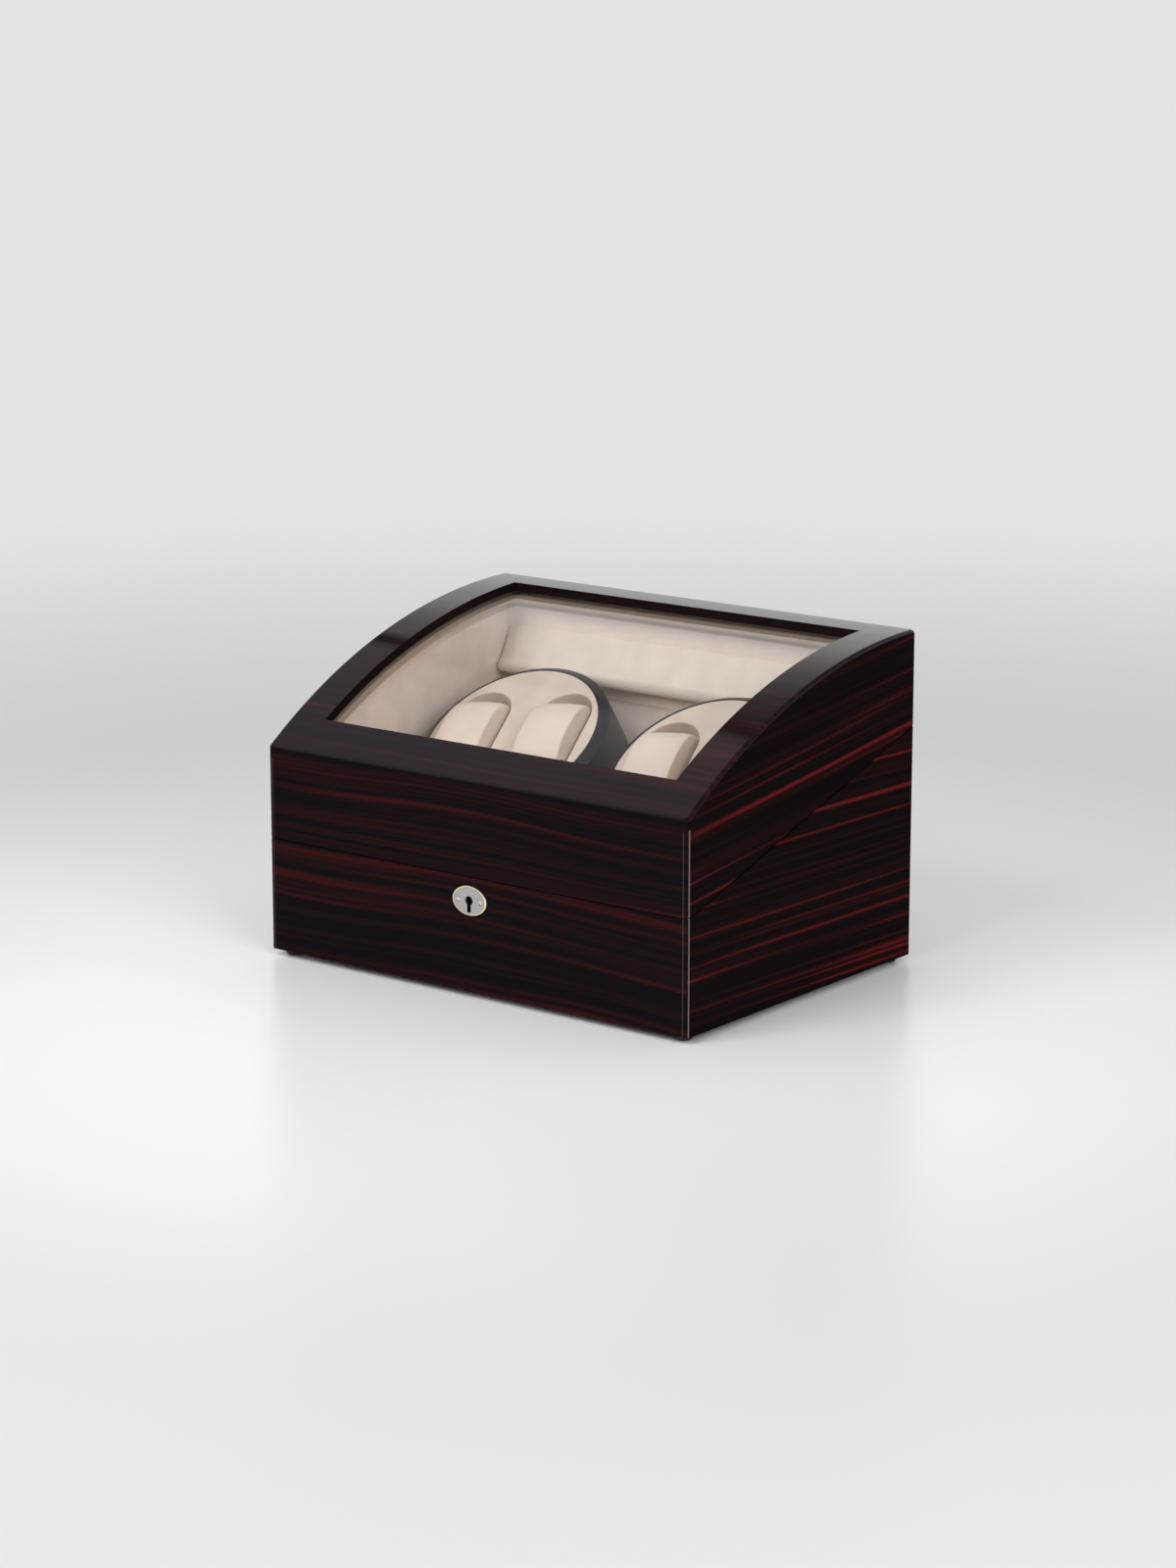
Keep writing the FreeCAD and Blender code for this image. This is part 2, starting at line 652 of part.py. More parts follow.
def turntable_cushion(side):
    piece = cushion(CUSHION_WIDTH, CUSHION_LENGTH, CUSHION_HEIGHT, CUSHION_END_ROUND)
    piece.translate(FreeCAD.Vector(side * POCKET_OFFSET, 0, CUSHION_MIDDLE))
    return piece


def spindle():
    top = -DRUM_DEPTH + DRUM_BACK + BOSS_HEIGHT
    return upright(SPINDLE_RADIUS, 0, 0, PULLEY_BOTTOM - SPINDLE_TAIL, top)


def bush():
    """A flanged bearing bush, pressed into the deck from above."""
    bore = SPINDLE_RADIUS + RUN_AIR
    return revolved([
        (bore, DECK_UNDER, 0),
        (BUSH_RADIUS, DECK_UNDER, 0),
        (BUSH_RADIUS, DECK_LEVEL, 0),
        (BUSH_FLANGE_RADIUS, DECK_LEVEL, 0),
        (BUSH_FLANGE_RADIUS, DECK_LEVEL + BUSH_FLANGE, 0),
        (bore, DECK_LEVEL + BUSH_FLANGE, 0),
    ])


def pulley(radius, bore):
    """A flanged belt pulley, under the deck."""
    lip = radius + BELT + PULLEY_LIP
    return revolved([
        (bore, PULLEY_BOTTOM, 0),
        (lip, PULLEY_BOTTOM, 0),
        (lip, PULLEY_BOTTOM + PULLEY_FLANGE, 0),
        (radius, PULLEY_BOTTOM + PULLEY_FLANGE, 0),
        (radius, PULLEY_TOP - PULLEY_FLANGE, 0),
        (lip, PULLEY_TOP - PULLEY_FLANGE, 0),
        (lip, PULLEY_TOP, 0),
        (bore, PULLEY_TOP, 0),
    ])


def belt_loop(grow, reach, z0, z1):
    """The space inside a belt round both pulleys; reach is where the motor's axis lies on x."""
    big, small = PULLEY_RADIUS + grow, MOTOR_PULLEY_RADIUS + grow
    lean = math.acos((big - small) / BELT_CENTRES)
    toward = math.copysign(1, reach)

    def on(radius, centre, angle):
        return FreeCAD.Vector(centre + toward * radius * math.cos(angle), radius * math.sin(angle), z0)

    edges = [
        Part.Arc(on(big, 0, lean), on(big, 0, math.pi), on(big, 0, -lean)).toShape(),
        Part.makeLine(on(big, 0, -lean), on(small, reach, -lean)),
        Part.Arc(on(small, reach, -lean), on(small, reach, 0), on(small, reach, lean)).toShape(),
        Part.makeLine(on(small, reach, lean), on(big, 0, lean)),
    ]
    return Part.Face(Part.Wire(edges)).extrude(FreeCAD.Vector(0, 0, z1 - z0))


def belt(side):
    reach = -side * BELT_CENTRES
    low = PULLEY_BOTTOM + PULLEY_FLANGE + BELT_SIDE_AIR
    outside = belt_loop(RUN_AIR + BELT, reach, low, low + BELT_WIDTH)
    return outside.cut(belt_loop(RUN_AIR, reach, low - BELT_WIDTH, low + 2 * BELT_WIDTH))


def motor():
    """A small geared motor: a round can, bored for the shaft that carries its pulley."""
    can = revolved([
        (0, MOTOR_TOP - MOTOR_LENGTH, 0),
        (MOTOR_RADIUS, MOTOR_TOP - MOTOR_LENGTH, MOTOR_ROUND),
        (MOTOR_RADIUS, MOTOR_TOP, 0),
        (0, MOTOR_TOP, 0),
    ])
    bore = MOTOR_SHAFT_RADIUS + RUN_AIR
    return can.cut(upright(bore, 0, 0, MOTOR_TOP - MOTOR_SHAFT_GRIP - RIM_GAP, MOTOR_TOP + 1))


def motor_pulley():
    """The small pulley, in one piece with the motor's shaft."""
    shaft = upright(MOTOR_SHAFT_RADIUS, 0, 0, MOTOR_TOP - MOTOR_SHAFT_GRIP, PULLEY_TOP)
    wheel = pulley(MOTOR_PULLEY_RADIUS, MOTOR_SHAFT_RADIUS / 2)
    return wheel.fuse(shaft).removeSplitter()


def motor_bracket():
    """A bent sheet bridge under the deck, with the motor hung from its plate."""
    span, width, sheet = BRACKET_HALF_SPAN, BRACKET_HALF_WIDTH, BRACKET_SHEET
    plate = block(-width, width, -span, span, MOTOR_TOP, BRACKET_LEVEL)
    pieces = []
    for side in (-1, 1):
        wall = sorted((side * (span - sheet), side * span))
        foot = sorted((side * (span - sheet), side * (span + BRACKET_FOOT)))
        pieces.append(block(-width, width, wall[0], wall[1], MOTOR_TOP, DECK_UNDER))
        pieces.append(block(-width, width, foot[0], foot[1], DECK_UNDER - sheet, DECK_UNDER))
    hole = upright(MOTOR_SHAFT_RADIUS + BRACKET_HOLE_AIR, 0, 0, MOTOR_TOP - 1, BRACKET_LEVEL + 1)
    return plate.fuse(pieces).removeSplitter().cut(hole)


def on_motor(shape, side):
    moved = shape.copy()
    moved.translate(FreeCAD.Vector(-side * BELT_CENTRES, 0, 0))
    return on_deck(moved, side)


def keyhole(y0, y1):
    """The keyhole, as a cutter along y."""
    middle = FreeCAD.Vector(0, y0, LOCK_HEIGHT)
    round_part = rod(KEYHOLE_RADIUS, middle, FreeCAD.Vector(0, y1, LOCK_HEIGHT))
    half = KEYHOLE_SLOT / 2
    return round_part.fuse(block(-half, half, y0, y1, LOCK_HEIGHT - KEYHOLE_DROP, LOCK_HEIGHT))


def lock_plate():
    """The oval keyhole plate on the front, with its edge rounded over."""
    ellipse = Part.Ellipse(ORIGIN, PLATE_HALF_LENGTH, PLATE_HALF_HEIGHT)
    plate = Part.Face(Part.Wire([ellipse.toShape()])).extrude(FreeCAD.Vector(0, 0, PLATE_THICK))
    rims = [e for e in plate.Edges if all(abs(v.Point.z - PLATE_THICK) < 1e-6 for v in e.Vertexes)]
    plate = plate.makeFillet(PLATE_ROUND, rims)
    plate.rotate(ORIGIN, X_AXIS, 90)
    plate.translate(FreeCAD.Vector(0, -HALF_DEPTH, LOCK_HEIGHT))
    plate = plate.cut(keyhole(-HALF_DEPTH - 2 * PLATE_THICK, -HALF_DEPTH + PLATE_THICK))
    for side in (-1, 1):
        plate = plate.cut(plate_screw(side, SCREW_AIR))
    return plate


def plate_screw(side, air):
    """A countersunk wood screw through the keyhole plate, or the hole for it."""
    reach = PLATE_SCREW_LENGTH + air
    head = PLATE_SCREW_HEAD + air
    shank = PLATE_SCREW_RADIUS + air
    screw = revolved([(0, 0, 0), (head, 0, 0), (shank, shank - head, 0), (shank, -reach, 0), (0, -reach, 0)])
    screw.rotate(ORIGIN, X_AXIS, 90)
    screw.translate(FreeCAD.Vector(side * PLATE_SCREW_OFFSET, -HALF_DEPTH - PLATE_THICK, LOCK_HEIGHT))
    return screw


def lock_space(air):
    """The room of the lock in the front board, open at the rim."""
    rear = -INNER_Y
    front = rear - LOCK_THICK - air
    half = LOCK_WIDTH / 2 + air
    low = rim_z(front) - LOCK_DEPTH - air
    return side_prism(
        [(front, low), (rear, low), (rear, rim_z(rear) - RIM_GAP / 2), (front, rim_z(front) - RIM_GAP / 2)],
        -half, half,
    )


def bolt_box(air, lift):
    """The bolt of the lock, or its slot when given air."""
    middle = -INNER_Y - LOCK_THICK / 2
    half_x, half_y = BOLT_WIDTH / 2 + air, BOLT_THICK / 2 + air
    top = rim_z(middle - half_y) - RIM_GAP / 2 - BOLT_REST_DROP
    return block(-half_x, half_x, middle - half_y, middle + half_y, top - BOLT_LENGTH - air, top + lift)


def lock_body():
    case = lock_space(0)
    case = case.cut(bolt_box(BOLT_AIR, LOCK_DEPTH))
    return case.cut(keyhole(-HALF_DEPTH, -INNER_Y - LOCK_BACK_PLATE))


def strike_plate(air):
    """The plate in the lid's rim that the bolt rises into, or its recess."""
    half = STRIKE_WIDTH / 2 + air
    rear = -INNER_Y
    front = rear - STRIKE_LENGTH - air
    low, high = RIM_GAP / 2, RIM_GAP / 2 + STRIKE_THICK
    return side_prism(
        [(front, rim_z(front) + low), (rear, rim_z(rear) + low),
         (rear, rim_z(rear) + high), (front, rim_z(front) + high)],
        -half, half,
    )


def on_rim(shape, side):
    """Place a hinge piece drawn about its pin: x along the pin, y along the rim, z square to it."""
    placed = shape.copy()
    placed.rotate(ORIGIN, X_AXIS, RIM_ANGLE)
    placed.translate(FreeCAD.Vector(side * HINGE_OFFSET, HINGE_Y, rim_z(HINGE_Y)))
    return placed


def along_pin(radius, x0, x1):
    return rod(radius, FreeCAD.Vector(x0, 0, 0), FreeCAD.Vector(x1, 0, 0))


def leaf_box(up, air):
    """The flat of a hinge leaf, let into the rim of the lid (up = 1) or the case (up = -1)."""
    half = HINGE_LENGTH / 2 + air
    front = -(KNUCKLE_RADIUS + LEAF_AIR + LEAF_WIDTH + air)
    flat = sorted((up * RIM_GAP / 2, up * (RIM_GAP / 2 + LEAF)))
    return block(-half, half, front, 0, flat[0], flat[1])


def hinge_screw(up, air):
    head, shank = HINGE_SCREW_HEAD + air, HINGE_SCREW_RADIUS + air
    reach = HINGE_SCREW_LENGTH + air
    screw = revolved([(0, 0, 0), (head, 0, 0), (shank, shank - head, 0), (shank, -reach, 0), (0, -reach, 0)])
    if up > 0:
        screw.rotate(ORIGIN, X_AXIS, 180)
    row = -(KNUCKLE_RADIUS + LEAF_AIR + LEAF_WIDTH / 2)
    screws = []
    for side in (-1, 1):
        one = screw.copy()
        one.translate(FreeCAD.Vector(side * HINGE_SCREW_SPACING / 2, row, up * RIM_GAP / 2))
        screws.append(one)
    return screws


def hinge_leaf(up):
    """A leaf with every second knuckle, cleared for the knuckles of the other leaf."""
    pitch = HINGE_LENGTH / HINGE_KNUCKLES
    leaf = leaf_box(up, 0)
    for i in range(HINGE_KNUCKLES):
        x0 = i * pitch - HINGE_LENGTH / 2
        own = (i % 2 == 0) == (up < 0)
        if own:
            leaf = leaf.fuse(along_pin(KNUCKLE_RADIUS, x0 + KNUCKLE_AIR / 2, x0 + pitch - KNUCKLE_AIR / 2))
    for i in range(HINGE_KNUCKLES):
        x0 = i * pitch - HINGE_LENGTH / 2
        own = (i % 2 == 0) == (up < 0)
        if not own:
            clear = along_pin(KNUCKLE_RADIUS + KNUCKLE_AIR, x0 - KNUCKLE_AIR / 2, x0 + pitch + KNUCKLE_AIR / 2)
            leaf = leaf.cut(clear)
    bore = HINGE_PIN_RADIUS + (RUN_AIR if up > 0 else PRESS_AIR)
    leaf = leaf.cut(along_pin(bore, -HINGE_LENGTH, HINGE_LENGTH))
    for hole in hinge_screw(up, SCREW_AIR):
        leaf = leaf.cut(hole)
    return leaf


def both_hinges(shapes):
    return Part.makeCompound([on_rim(shape, side) for side in (-1, 1) for shape in shapes])


def let_in_hinges(board, up):
    """Cut the recesses and screw holes of the hinge leaves into a back board."""
    for side in (-1, 1):
        board = board.cut(on_rim(leaf_box(up, LEAF_AIR), side))
        for hole in hinge_screw(up, SCREW_AIR):
            board = board.cut(on_rim(hole, side))
    return board


def knob_axis(side, y):
    return FreeCAD.Vector(side * KNOB_OFFSET, y, KNOB_HEIGHT)


def knob(side):
    """A fluted switch knob, in one piece with its shaft."""
    rear = KNOB_PROUD
    cap = revolved([
        (0, KNOB_LIFT, 0),
        (KNOB_RADIUS, KNOB_LIFT, 0),
        (KNOB_RADIUS - KNOB_TAPER, rear, KNOB_ROUND),
        (0, rear, 0),
    ])
    for i in range(KNOB_FLUTES):
        angle = 2 * math.pi * i / KNOB_FLUTES
        x, y = KNOB_RADIUS * math.cos(angle), KNOB_RADIUS * math.sin(angle)
        cap = cap.cut(upright(KNOB_FLUTE_RADIUS, x, y, KNOB_LIFT + KNOB_ROUND, rear + 1))
    shaft = upright(KNOB_SHAFT_RADIUS, 0, 0, -BOARD - SWITCH_GRIP, KNOB_LIFT + KNOB_ROUND)
    piece = cap.fuse(shaft).removeSplitter()
    piece.rotate(ORIGIN, X_AXIS, -90)
    piece.translate(knob_axis(side, HALF_DEPTH))
    return piece


def knob_hole(side):
    radius = KNOB_SHAFT_RADIUS + RUN_AIR
    return rod(radius, knob_axis(side, INNER_Y - SWITCH_GRIP - RIM_GAP), knob_axis(side, HALF_DEPTH + 1))


def switches():
    half = SWITCH_SIZE / 2
    group = []
    for side in (-1, 1):
        x = side * KNOB_OFFSET
        body = block(x - half, x + half, INNER_Y - SWITCH_DEPTH, INNER_Y, KNOB_HEIGHT - half, KNOB_HEIGHT + half)
        group.append(body.cut(knob_hole(side)))
    return Part.makeCompound(group)


def circuit_board():
    rear = INNER_Y - SWITCH_DEPTH
    half = CIRCUIT_HEIGHT / 2
    return block(
        -CIRCUIT_WIDTH / 2, CIRCUIT_WIDTH / 2,
        rear - CIRCUIT_BOARD, rear,
        KNOB_HEIGHT - half, KNOB_HEIGHT + half,
    )


def socket_axis(y):
    return FreeCAD.Vector(0, y, SOCKET_HEIGHT)


def power_socket():
    """The low-voltage barrel socket, through the back board with its flange outside."""
    barrel = rod(SOCKET_RADIUS, socket_axis(INNER_Y - SOCKET_BODY), socket_axis(HALF_DEPTH))
    flange = rod(SOCKET_FLANGE_RADIUS, socket_axis(HALF_DEPTH), socket_axis(HALF_DEPTH + SOCKET_FLANGE))
    mouth = HALF_DEPTH + SOCKET_FLANGE
    bore = rod(SOCKET_BORE_RADIUS, socket_axis(mouth - SOCKET_BORE_DEPTH), socket_axis(mouth + 1))
    pin = rod(SOCKET_PIN_RADIUS, socket_axis(mouth - SOCKET_BORE_DEPTH - 1), socket_axis(HALF_DEPTH))
    return barrel.fuse(flange).removeSplitter().cut(bore).fuse(pin).removeSplitter()


def fitted_boards():
    """The case and lid boards, with the cuts for the lock, hinges and switches."""
    base, lid = base_boards(), lid_boards()
    base["front"] = base["front"].cut(lock_space(BOLT_AIR)).cut(keyhole(-HALF_DEPTH - 1, -INNER_Y))
    for side in (-1, 1):
        base["front"] = base["front"].cut(plate_screw(side, SCREW_AIR))
        base["back"] = base["back"].cut(knob_hole(side))
    socket_hole = rod(SOCKET_RADIUS + RUN_AIR, socket_axis(0), socket_axis(HALF_DEPTH + 1))
    base["back"] = let_in_hinges(base["back"].cut(socket_hole), -1)
    lid["front"] = lid["front"].cut(strike_plate(BOLT_AIR)).cut(bolt_box(STRIKE_SLOT_AIR, STRIKE_POCKET))
    lid["back"] = let_in_hinges(lid["back"], 1)
    return base, lid


def save_case():
    base, lid = fitted_boards()
    for side, board in base.items():
        save("base_" + side, board)
    for side, board in lid.items():
        save("lid_" + side, board)
    save("base_floor", base_floor())
    save("feet", feet())
    save("base_lining", base_lining())
    save("deck", deck())
    save("deck_riser", riser())
    for i in range(STORE_COUNT):
        save("storage_cushion_" + str(i + 1), storage_cushion(i))


def save_lid_fittings():
    save("lid_top_frame", lid_top_frame())
    save("window_pane", window_pane())
    save("window_retainer", window_retainer())
    save("lid_lining", lid_lining())
    save("lid_back_pad", lid_back_pad())


def save_turntables():
    for side, word in ((-1, "left"), (1, "right")):
        save("turntable_drum_" + word, on_turntable(drum(), side))
        save("turntable_face_" + word, on_turntable(face(), side))
        save("cushion_" + word + "_a", on_turntable(turntable_cushion(-1), side))
        save("cushion_" + word + "_b", on_turntable(turntable_cushion(1), side))
        save("spindle_" + word, on_deck(spindle(), side))
        save("drive_pulley_" + word, on_deck(pulley(PULLEY_RADIUS, SPINDLE_RADIUS + PRESS_AIR), side))
        save("drive_belt_" + word, on_deck(belt(side), side))
        save("motor_" + word, on_motor(motor(), side))
        save("motor_pulley_" + word, on_motor(motor_pulley(), side))
    save("spindle_bushes", Part.makeCompound([on_deck(bush(), side) for side in (-1, 1)]))
    save("motor_brackets", Part.makeCompound([on_motor(motor_bracket(), side) for side in (-1, 1)]))


def save_lock_and_hinges():
    save("lock_plate", lock_plate())
    save("lock_plate_screws", Part.makeCompound([plate_screw(side, 0) for side in (-1, 1)]))
    save("lock_body", lock_body())
    save("lock_bolt", bolt_box(0, 0))
    save("strike_plate", strike_plate(0).cut(bolt_box(STRIKE_SLOT_AIR, STRIKE_POCKET)))
    save("hinge_base_leaves", both_hinges([hinge_leaf(-1)]))
    save("hinge_lid_leaves", both_hinges([hinge_leaf(1)]))
    save("hinge_pins", both_hinges([along_pin(HINGE_PIN_RADIUS, -HINGE_LENGTH / 2, HINGE_LENGTH / 2)]))
    save("hinge_base_screws", both_hinges(hinge_screw(-1, 0)))
    save("hinge_lid_screws", both_hinges(hinge_screw(1, 0)))


def save_controls():
    save("mode_knob_left", knob(-1))
    save("mode_knob_right", knob(1))
    save("mode_switches", switches())
    save("circuit_board", circuit_board())
    save("power_socket", power_socket())


os.makedirs("parts", exist_ok=True)
save_case()
save_lid_fittings()
save_turntables()
save_lock_and_hinges()
save_controls()
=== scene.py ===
import json
import math
import bmesh
import bpy
from mathutils import Matrix, Vector


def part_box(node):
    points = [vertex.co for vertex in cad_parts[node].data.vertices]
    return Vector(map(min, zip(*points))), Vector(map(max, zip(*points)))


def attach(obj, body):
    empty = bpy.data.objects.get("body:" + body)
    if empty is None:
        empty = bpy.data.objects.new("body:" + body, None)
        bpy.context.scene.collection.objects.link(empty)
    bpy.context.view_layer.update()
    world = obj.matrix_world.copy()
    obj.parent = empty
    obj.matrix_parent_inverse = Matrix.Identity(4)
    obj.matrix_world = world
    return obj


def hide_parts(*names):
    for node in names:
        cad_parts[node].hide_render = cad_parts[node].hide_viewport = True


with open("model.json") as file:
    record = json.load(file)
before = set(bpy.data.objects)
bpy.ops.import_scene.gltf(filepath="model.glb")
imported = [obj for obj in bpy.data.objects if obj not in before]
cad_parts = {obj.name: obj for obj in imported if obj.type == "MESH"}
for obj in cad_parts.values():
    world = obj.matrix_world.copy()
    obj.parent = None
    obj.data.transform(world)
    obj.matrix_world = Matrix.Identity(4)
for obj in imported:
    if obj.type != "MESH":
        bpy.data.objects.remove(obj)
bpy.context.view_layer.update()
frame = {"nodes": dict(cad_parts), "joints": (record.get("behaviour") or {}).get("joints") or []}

cad_nodes = frame["nodes"]
scene = bpy.context.scene
scene.view_settings.view_transform = "Standard"


# Camera: the photograph's view, to the right of the front and a little above the lid.
# A long lens from about 2.7 m away, fitted to the corners of the case and the round turntable faces.
CAMERA_PLACE = (1.5695, -2.0303, 0.7132)
CAMERA_TURN = math.radians(37.786)
CAMERA_DROP = math.radians(13.103)
CAMERA_LENS = 93.07
CAMERA_SENSOR = 36.0

bpy.ops.object.camera_add(location=CAMERA_PLACE, rotation=(math.pi / 2 - CAMERA_DROP, 0, CAMERA_TURN))
camera = bpy.context.object
camera.data.lens = CAMERA_LENS
camera.data.sensor_width = CAMERA_SENSOR
scene.camera = camera


# Studio: a pale, slightly glossy floor that runs out into a pale background, under two soft lamps,
# one before the front and one to its right. Seen in gloss, the surroundings are a bright screen that
# darkens upwards to a dark gap and, past a leaning edge, a grey ceiling.
FLOOR_HALF = 14.0
FLOOR_DROP = 0.0002
FLOOR_COLOUR = (0.82, 0.82, 0.83, 1)
# The floor's colour dims away from the case: a painted pool of light round it.
FLOOR_PAINTED_DIM_COLOUR = (0.56, 0.56, 0.57, 1)
FLOOR_ROUGHNESS = 0.30
FLOOR_GLOSS = 0.38
FLOOR_FAR_COLOUR = (0.78, 0.78, 0.79, 1)
FLOOR_PAINTED_POOL_REACH = (0.22, 0.80)
FLOOR_FAR_REACH = (0.35, 2.0)
LAMP_SIZE = 1.2
LAMPS = (((-0.25, -1.60, 1.30), 25.0), ((1.75, -0.80, 0.90), 22.0))
AMBIENT = (0.55, 0.55, 0.555, 1)
SCREEN_LEVELS = [
    (0.0, (1.08, 1.08, 1.09, 1)),
    (0.30, (1.0, 1.0, 1.01, 1)),
    (0.44, (0.90, 0.90, 0.91, 1)),
    (0.52, (0.64, 0.64, 0.65, 1)),
    (0.60, (0.42, 0.42, 0.43, 1)),
    (0.66, (0.25, 0.25, 0.26, 1)),
    (0.72, (0.14, 0.14, 0.15, 1)),
]
CEILING_LEAN = -1.69
GAP_COLOUR = (0.08, 0.08, 0.085, 1)
GAP_EDGE = (1.675, 1.695)
CEILING_COLOUR = (0.38, 0.37, 0.40, 1)
CEILING_EDGE = (1.705, 1.725)


def add_node(tree, kind, inputs=None, **settings):
    """Put a node into a tree, set it, and fill its inputs with values or with other nodes' outputs."""
    made = tree.nodes.new(kind)
    for key, value in settings.items():
        setattr(made, key, value)
    for key, value in (inputs or {}).items():
        if isinstance(value, bpy.types.NodeSocket):
            tree.links.new(value, made.inputs[key])
        else:
            made.inputs[key].default_value = value
    return made


def add_ramp(tree, factor, stops):
    """A colour ramp through (place, colour) stops."""
    ramp = add_node(tree, "ShaderNodeValToRGB", {"Fac": factor})
    elements = ramp.color_ramp.elements
    elements[0].position, elements[0].color = stops[0]
    elements[1].position, elements[1].color = stops[-1]
    for place, colour in stops[1:-1]:
        element = elements.new(place)
        element.color = colour
    return ramp.outputs["Color"]


def calc(tree, operation, first, second=None, third=None):
    """One step of arithmetic in a tree."""
    inputs = {i: v for i, v in enumerate((first, second, third)) if v is not None}
    return add_node(tree, "ShaderNodeMath", inputs, operation=operation).outputs["Value"]


def mix_colours(tree, share, first, second):
    """The first colour, giving way to the second by its share."""
    inputs = {"Factor": share, 6: first, 7: second}
    return add_node(tree, "ShaderNodeMix", inputs, data_type="RGBA").outputs[2]


def ease(tree, value, start, end, first=0.0, last=1.0, slope="SMOOTHSTEP"):
    """A step from the first level to the last as value goes from start to end."""
    return add_node(tree, "ShaderNodeMapRange", {
        "Value": value, "From Min": start, "From Max": end, "To Min": first, "To Max": last,
    }, interpolation_type=slope).outputs["Result"]


def new_finish(name):
    """A material with its tree and shader."""
    made = bpy.data.materials.new(name)
    made.use_nodes = True
    return made, made.node_tree, made.node_tree.nodes["Principled BSDF"]


bpy.ops.object.select_all(action="DESELECT")
bpy.ops.mesh.primitive_plane_add(size=2 * FLOOR_HALF, location=(0, 0, -FLOOR_DROP))
floor = bpy.context.object
floor.name = "floor"
paper, tree, shader = new_finish("floor_paper")
shader.inputs["Roughness"].default_value = FLOOR_ROUGHNESS
shader.inputs["Specular IOR Level"].default_value = FLOOR_GLOSS
place = add_node(tree, "ShaderNodeTexCoord").outputs["Object"]
reach = add_node(tree, "ShaderNodeVectorMath", {0: place}, operation="LENGTH").outputs["Value"]
# Floor painted lighter near the case and darker further out: a painted pool of light.
painted_pool_colour = mix_colours(tree, ease(tree, reach, *FLOOR_PAINTED_POOL_REACH), FLOOR_COLOUR, FLOOR_PAINTED_DIM_COLOUR)
tree.links.new(painted_pool_colour, shader.inputs["Base Color"])
ray = add_node(tree, "ShaderNodeLightPath")
seen = calc(tree, "MAXIMUM", ray.outputs["Is Camera Ray"], ray.outputs["Is Glossy Ray"])
share = calc(tree, "MULTIPLY", ease(tree, reach, *FLOOR_FAR_REACH), seen)
glow = add_node(tree, "ShaderNodeEmission", {"Color": FLOOR_FAR_COLOUR}).outputs["Emission"]
mixed = add_node(tree, "ShaderNodeMixShader", {0: share, 1: shader.outputs["BSDF"], 2: glow})
tree.links.new(mixed.outputs["Shader"], tree.nodes["Material Output"].inputs["Surface"])
floor.data.materials.append(paper)

for lamp_place, lamp_power in LAMPS:
    bpy.ops.object.light_add(type="AREA", location=lamp_place)
    lamp = bpy.context.object
    lamp.data.size = LAMP_SIZE
    lamp.data.energy = lamp_power
    lamp.visible_glossy = False
    lamp.rotation_euler = Vector(lamp_place).to_track_quat("Z", "Y").to_euler()

world = bpy.data.worlds.new("studio")
scene.world = world
world.use_nodes = True
tree = world.node_tree
heading = add_node(tree, "ShaderNodeTexCoord").outputs["Generated"]
parts = add_node(tree, "ShaderNodeSeparateXYZ", {"Vector": heading})
leaning = calc(tree, "MULTIPLY_ADD", parts.outputs["X"], CEILING_LEAN, parts.outputs["Z"])
screen = add_ramp(tree, parts.outputs["Z"], SCREEN_LEVELS)
screen = mix_colours(tree, ease(tree, leaning, *GAP_EDGE, slope="LINEAR"), screen, GAP_COLOUR)
screen = mix_colours(tree, ease(tree, leaning, *CEILING_EDGE, slope="LINEAR"), screen, CEILING_COLOUR)
ray = add_node(tree, "ShaderNodeLightPath")
around = mix_colours(tree, ray.outputs["Is Glossy Ray"], AMBIENT, screen)
around = mix_colours(tree, ray.outputs["Is Camera Ray"], around, FLOOR_FAR_COLOUR)
tree.links.new(around, tree.nodes["Background"].inputs["Color"])


# Boards of the case and lid: mitred boards faced with dark striped ebony veneer, the grain level
# round the box, under a thick high-gloss lacquer that rounds the edges.
LACQUER_IOR = 1.5
LACQUER_ROUGHNESS = 0.025
WOOD_ROUGHNESS = 0.35
WALL_GLOSS = 0.045
FRONT_COLOURS = ((0.0040, 0.0033, 0.0038, 1), (0.0100, 0.0040, 0.0044, 1), (0.030, 0.0054, 0.0056, 1))
SIDE_COLOURS = ((0.0034, 0.0019, 0.0022, 1), (0.012, 0.0025, 0.0028, 1), (0.090, 0.0075, 0.0075, 1))
FRONT_GRAIN = {
    "low": dict(rise=0.0, wave=0.028, seed=2.3, fineness=0.85, colours=FRONT_COLOURS, cut=0.78),
    "high": dict(rise=0.0, wave=0.028, seed=12.9, fineness=0.85, colours=FRONT_COLOURS, cut=0.77),
}
BACK_GRAIN = {
    "low": dict(rise=0.0, wave=0.024, seed=31.4, fineness=1.0, colours=SIDE_COLOURS, cut=0.82),
    "high": dict(rise=0.0, wave=0.024, seed=38.2, fineness=1.0, colours=SIDE_COLOURS, cut=0.82),
}
SIDE_GRAIN = {
    "low": dict(rise=-0.02, wave=0.008, seed=51.7, fineness=1.0, colours=SIDE_COLOURS, cut=0.82),
    "high": dict(rise=0.12, wave=0.008, seed=64.6, fineness=1.0, colours=SIDE_COLOURS, cut=0.84),
}
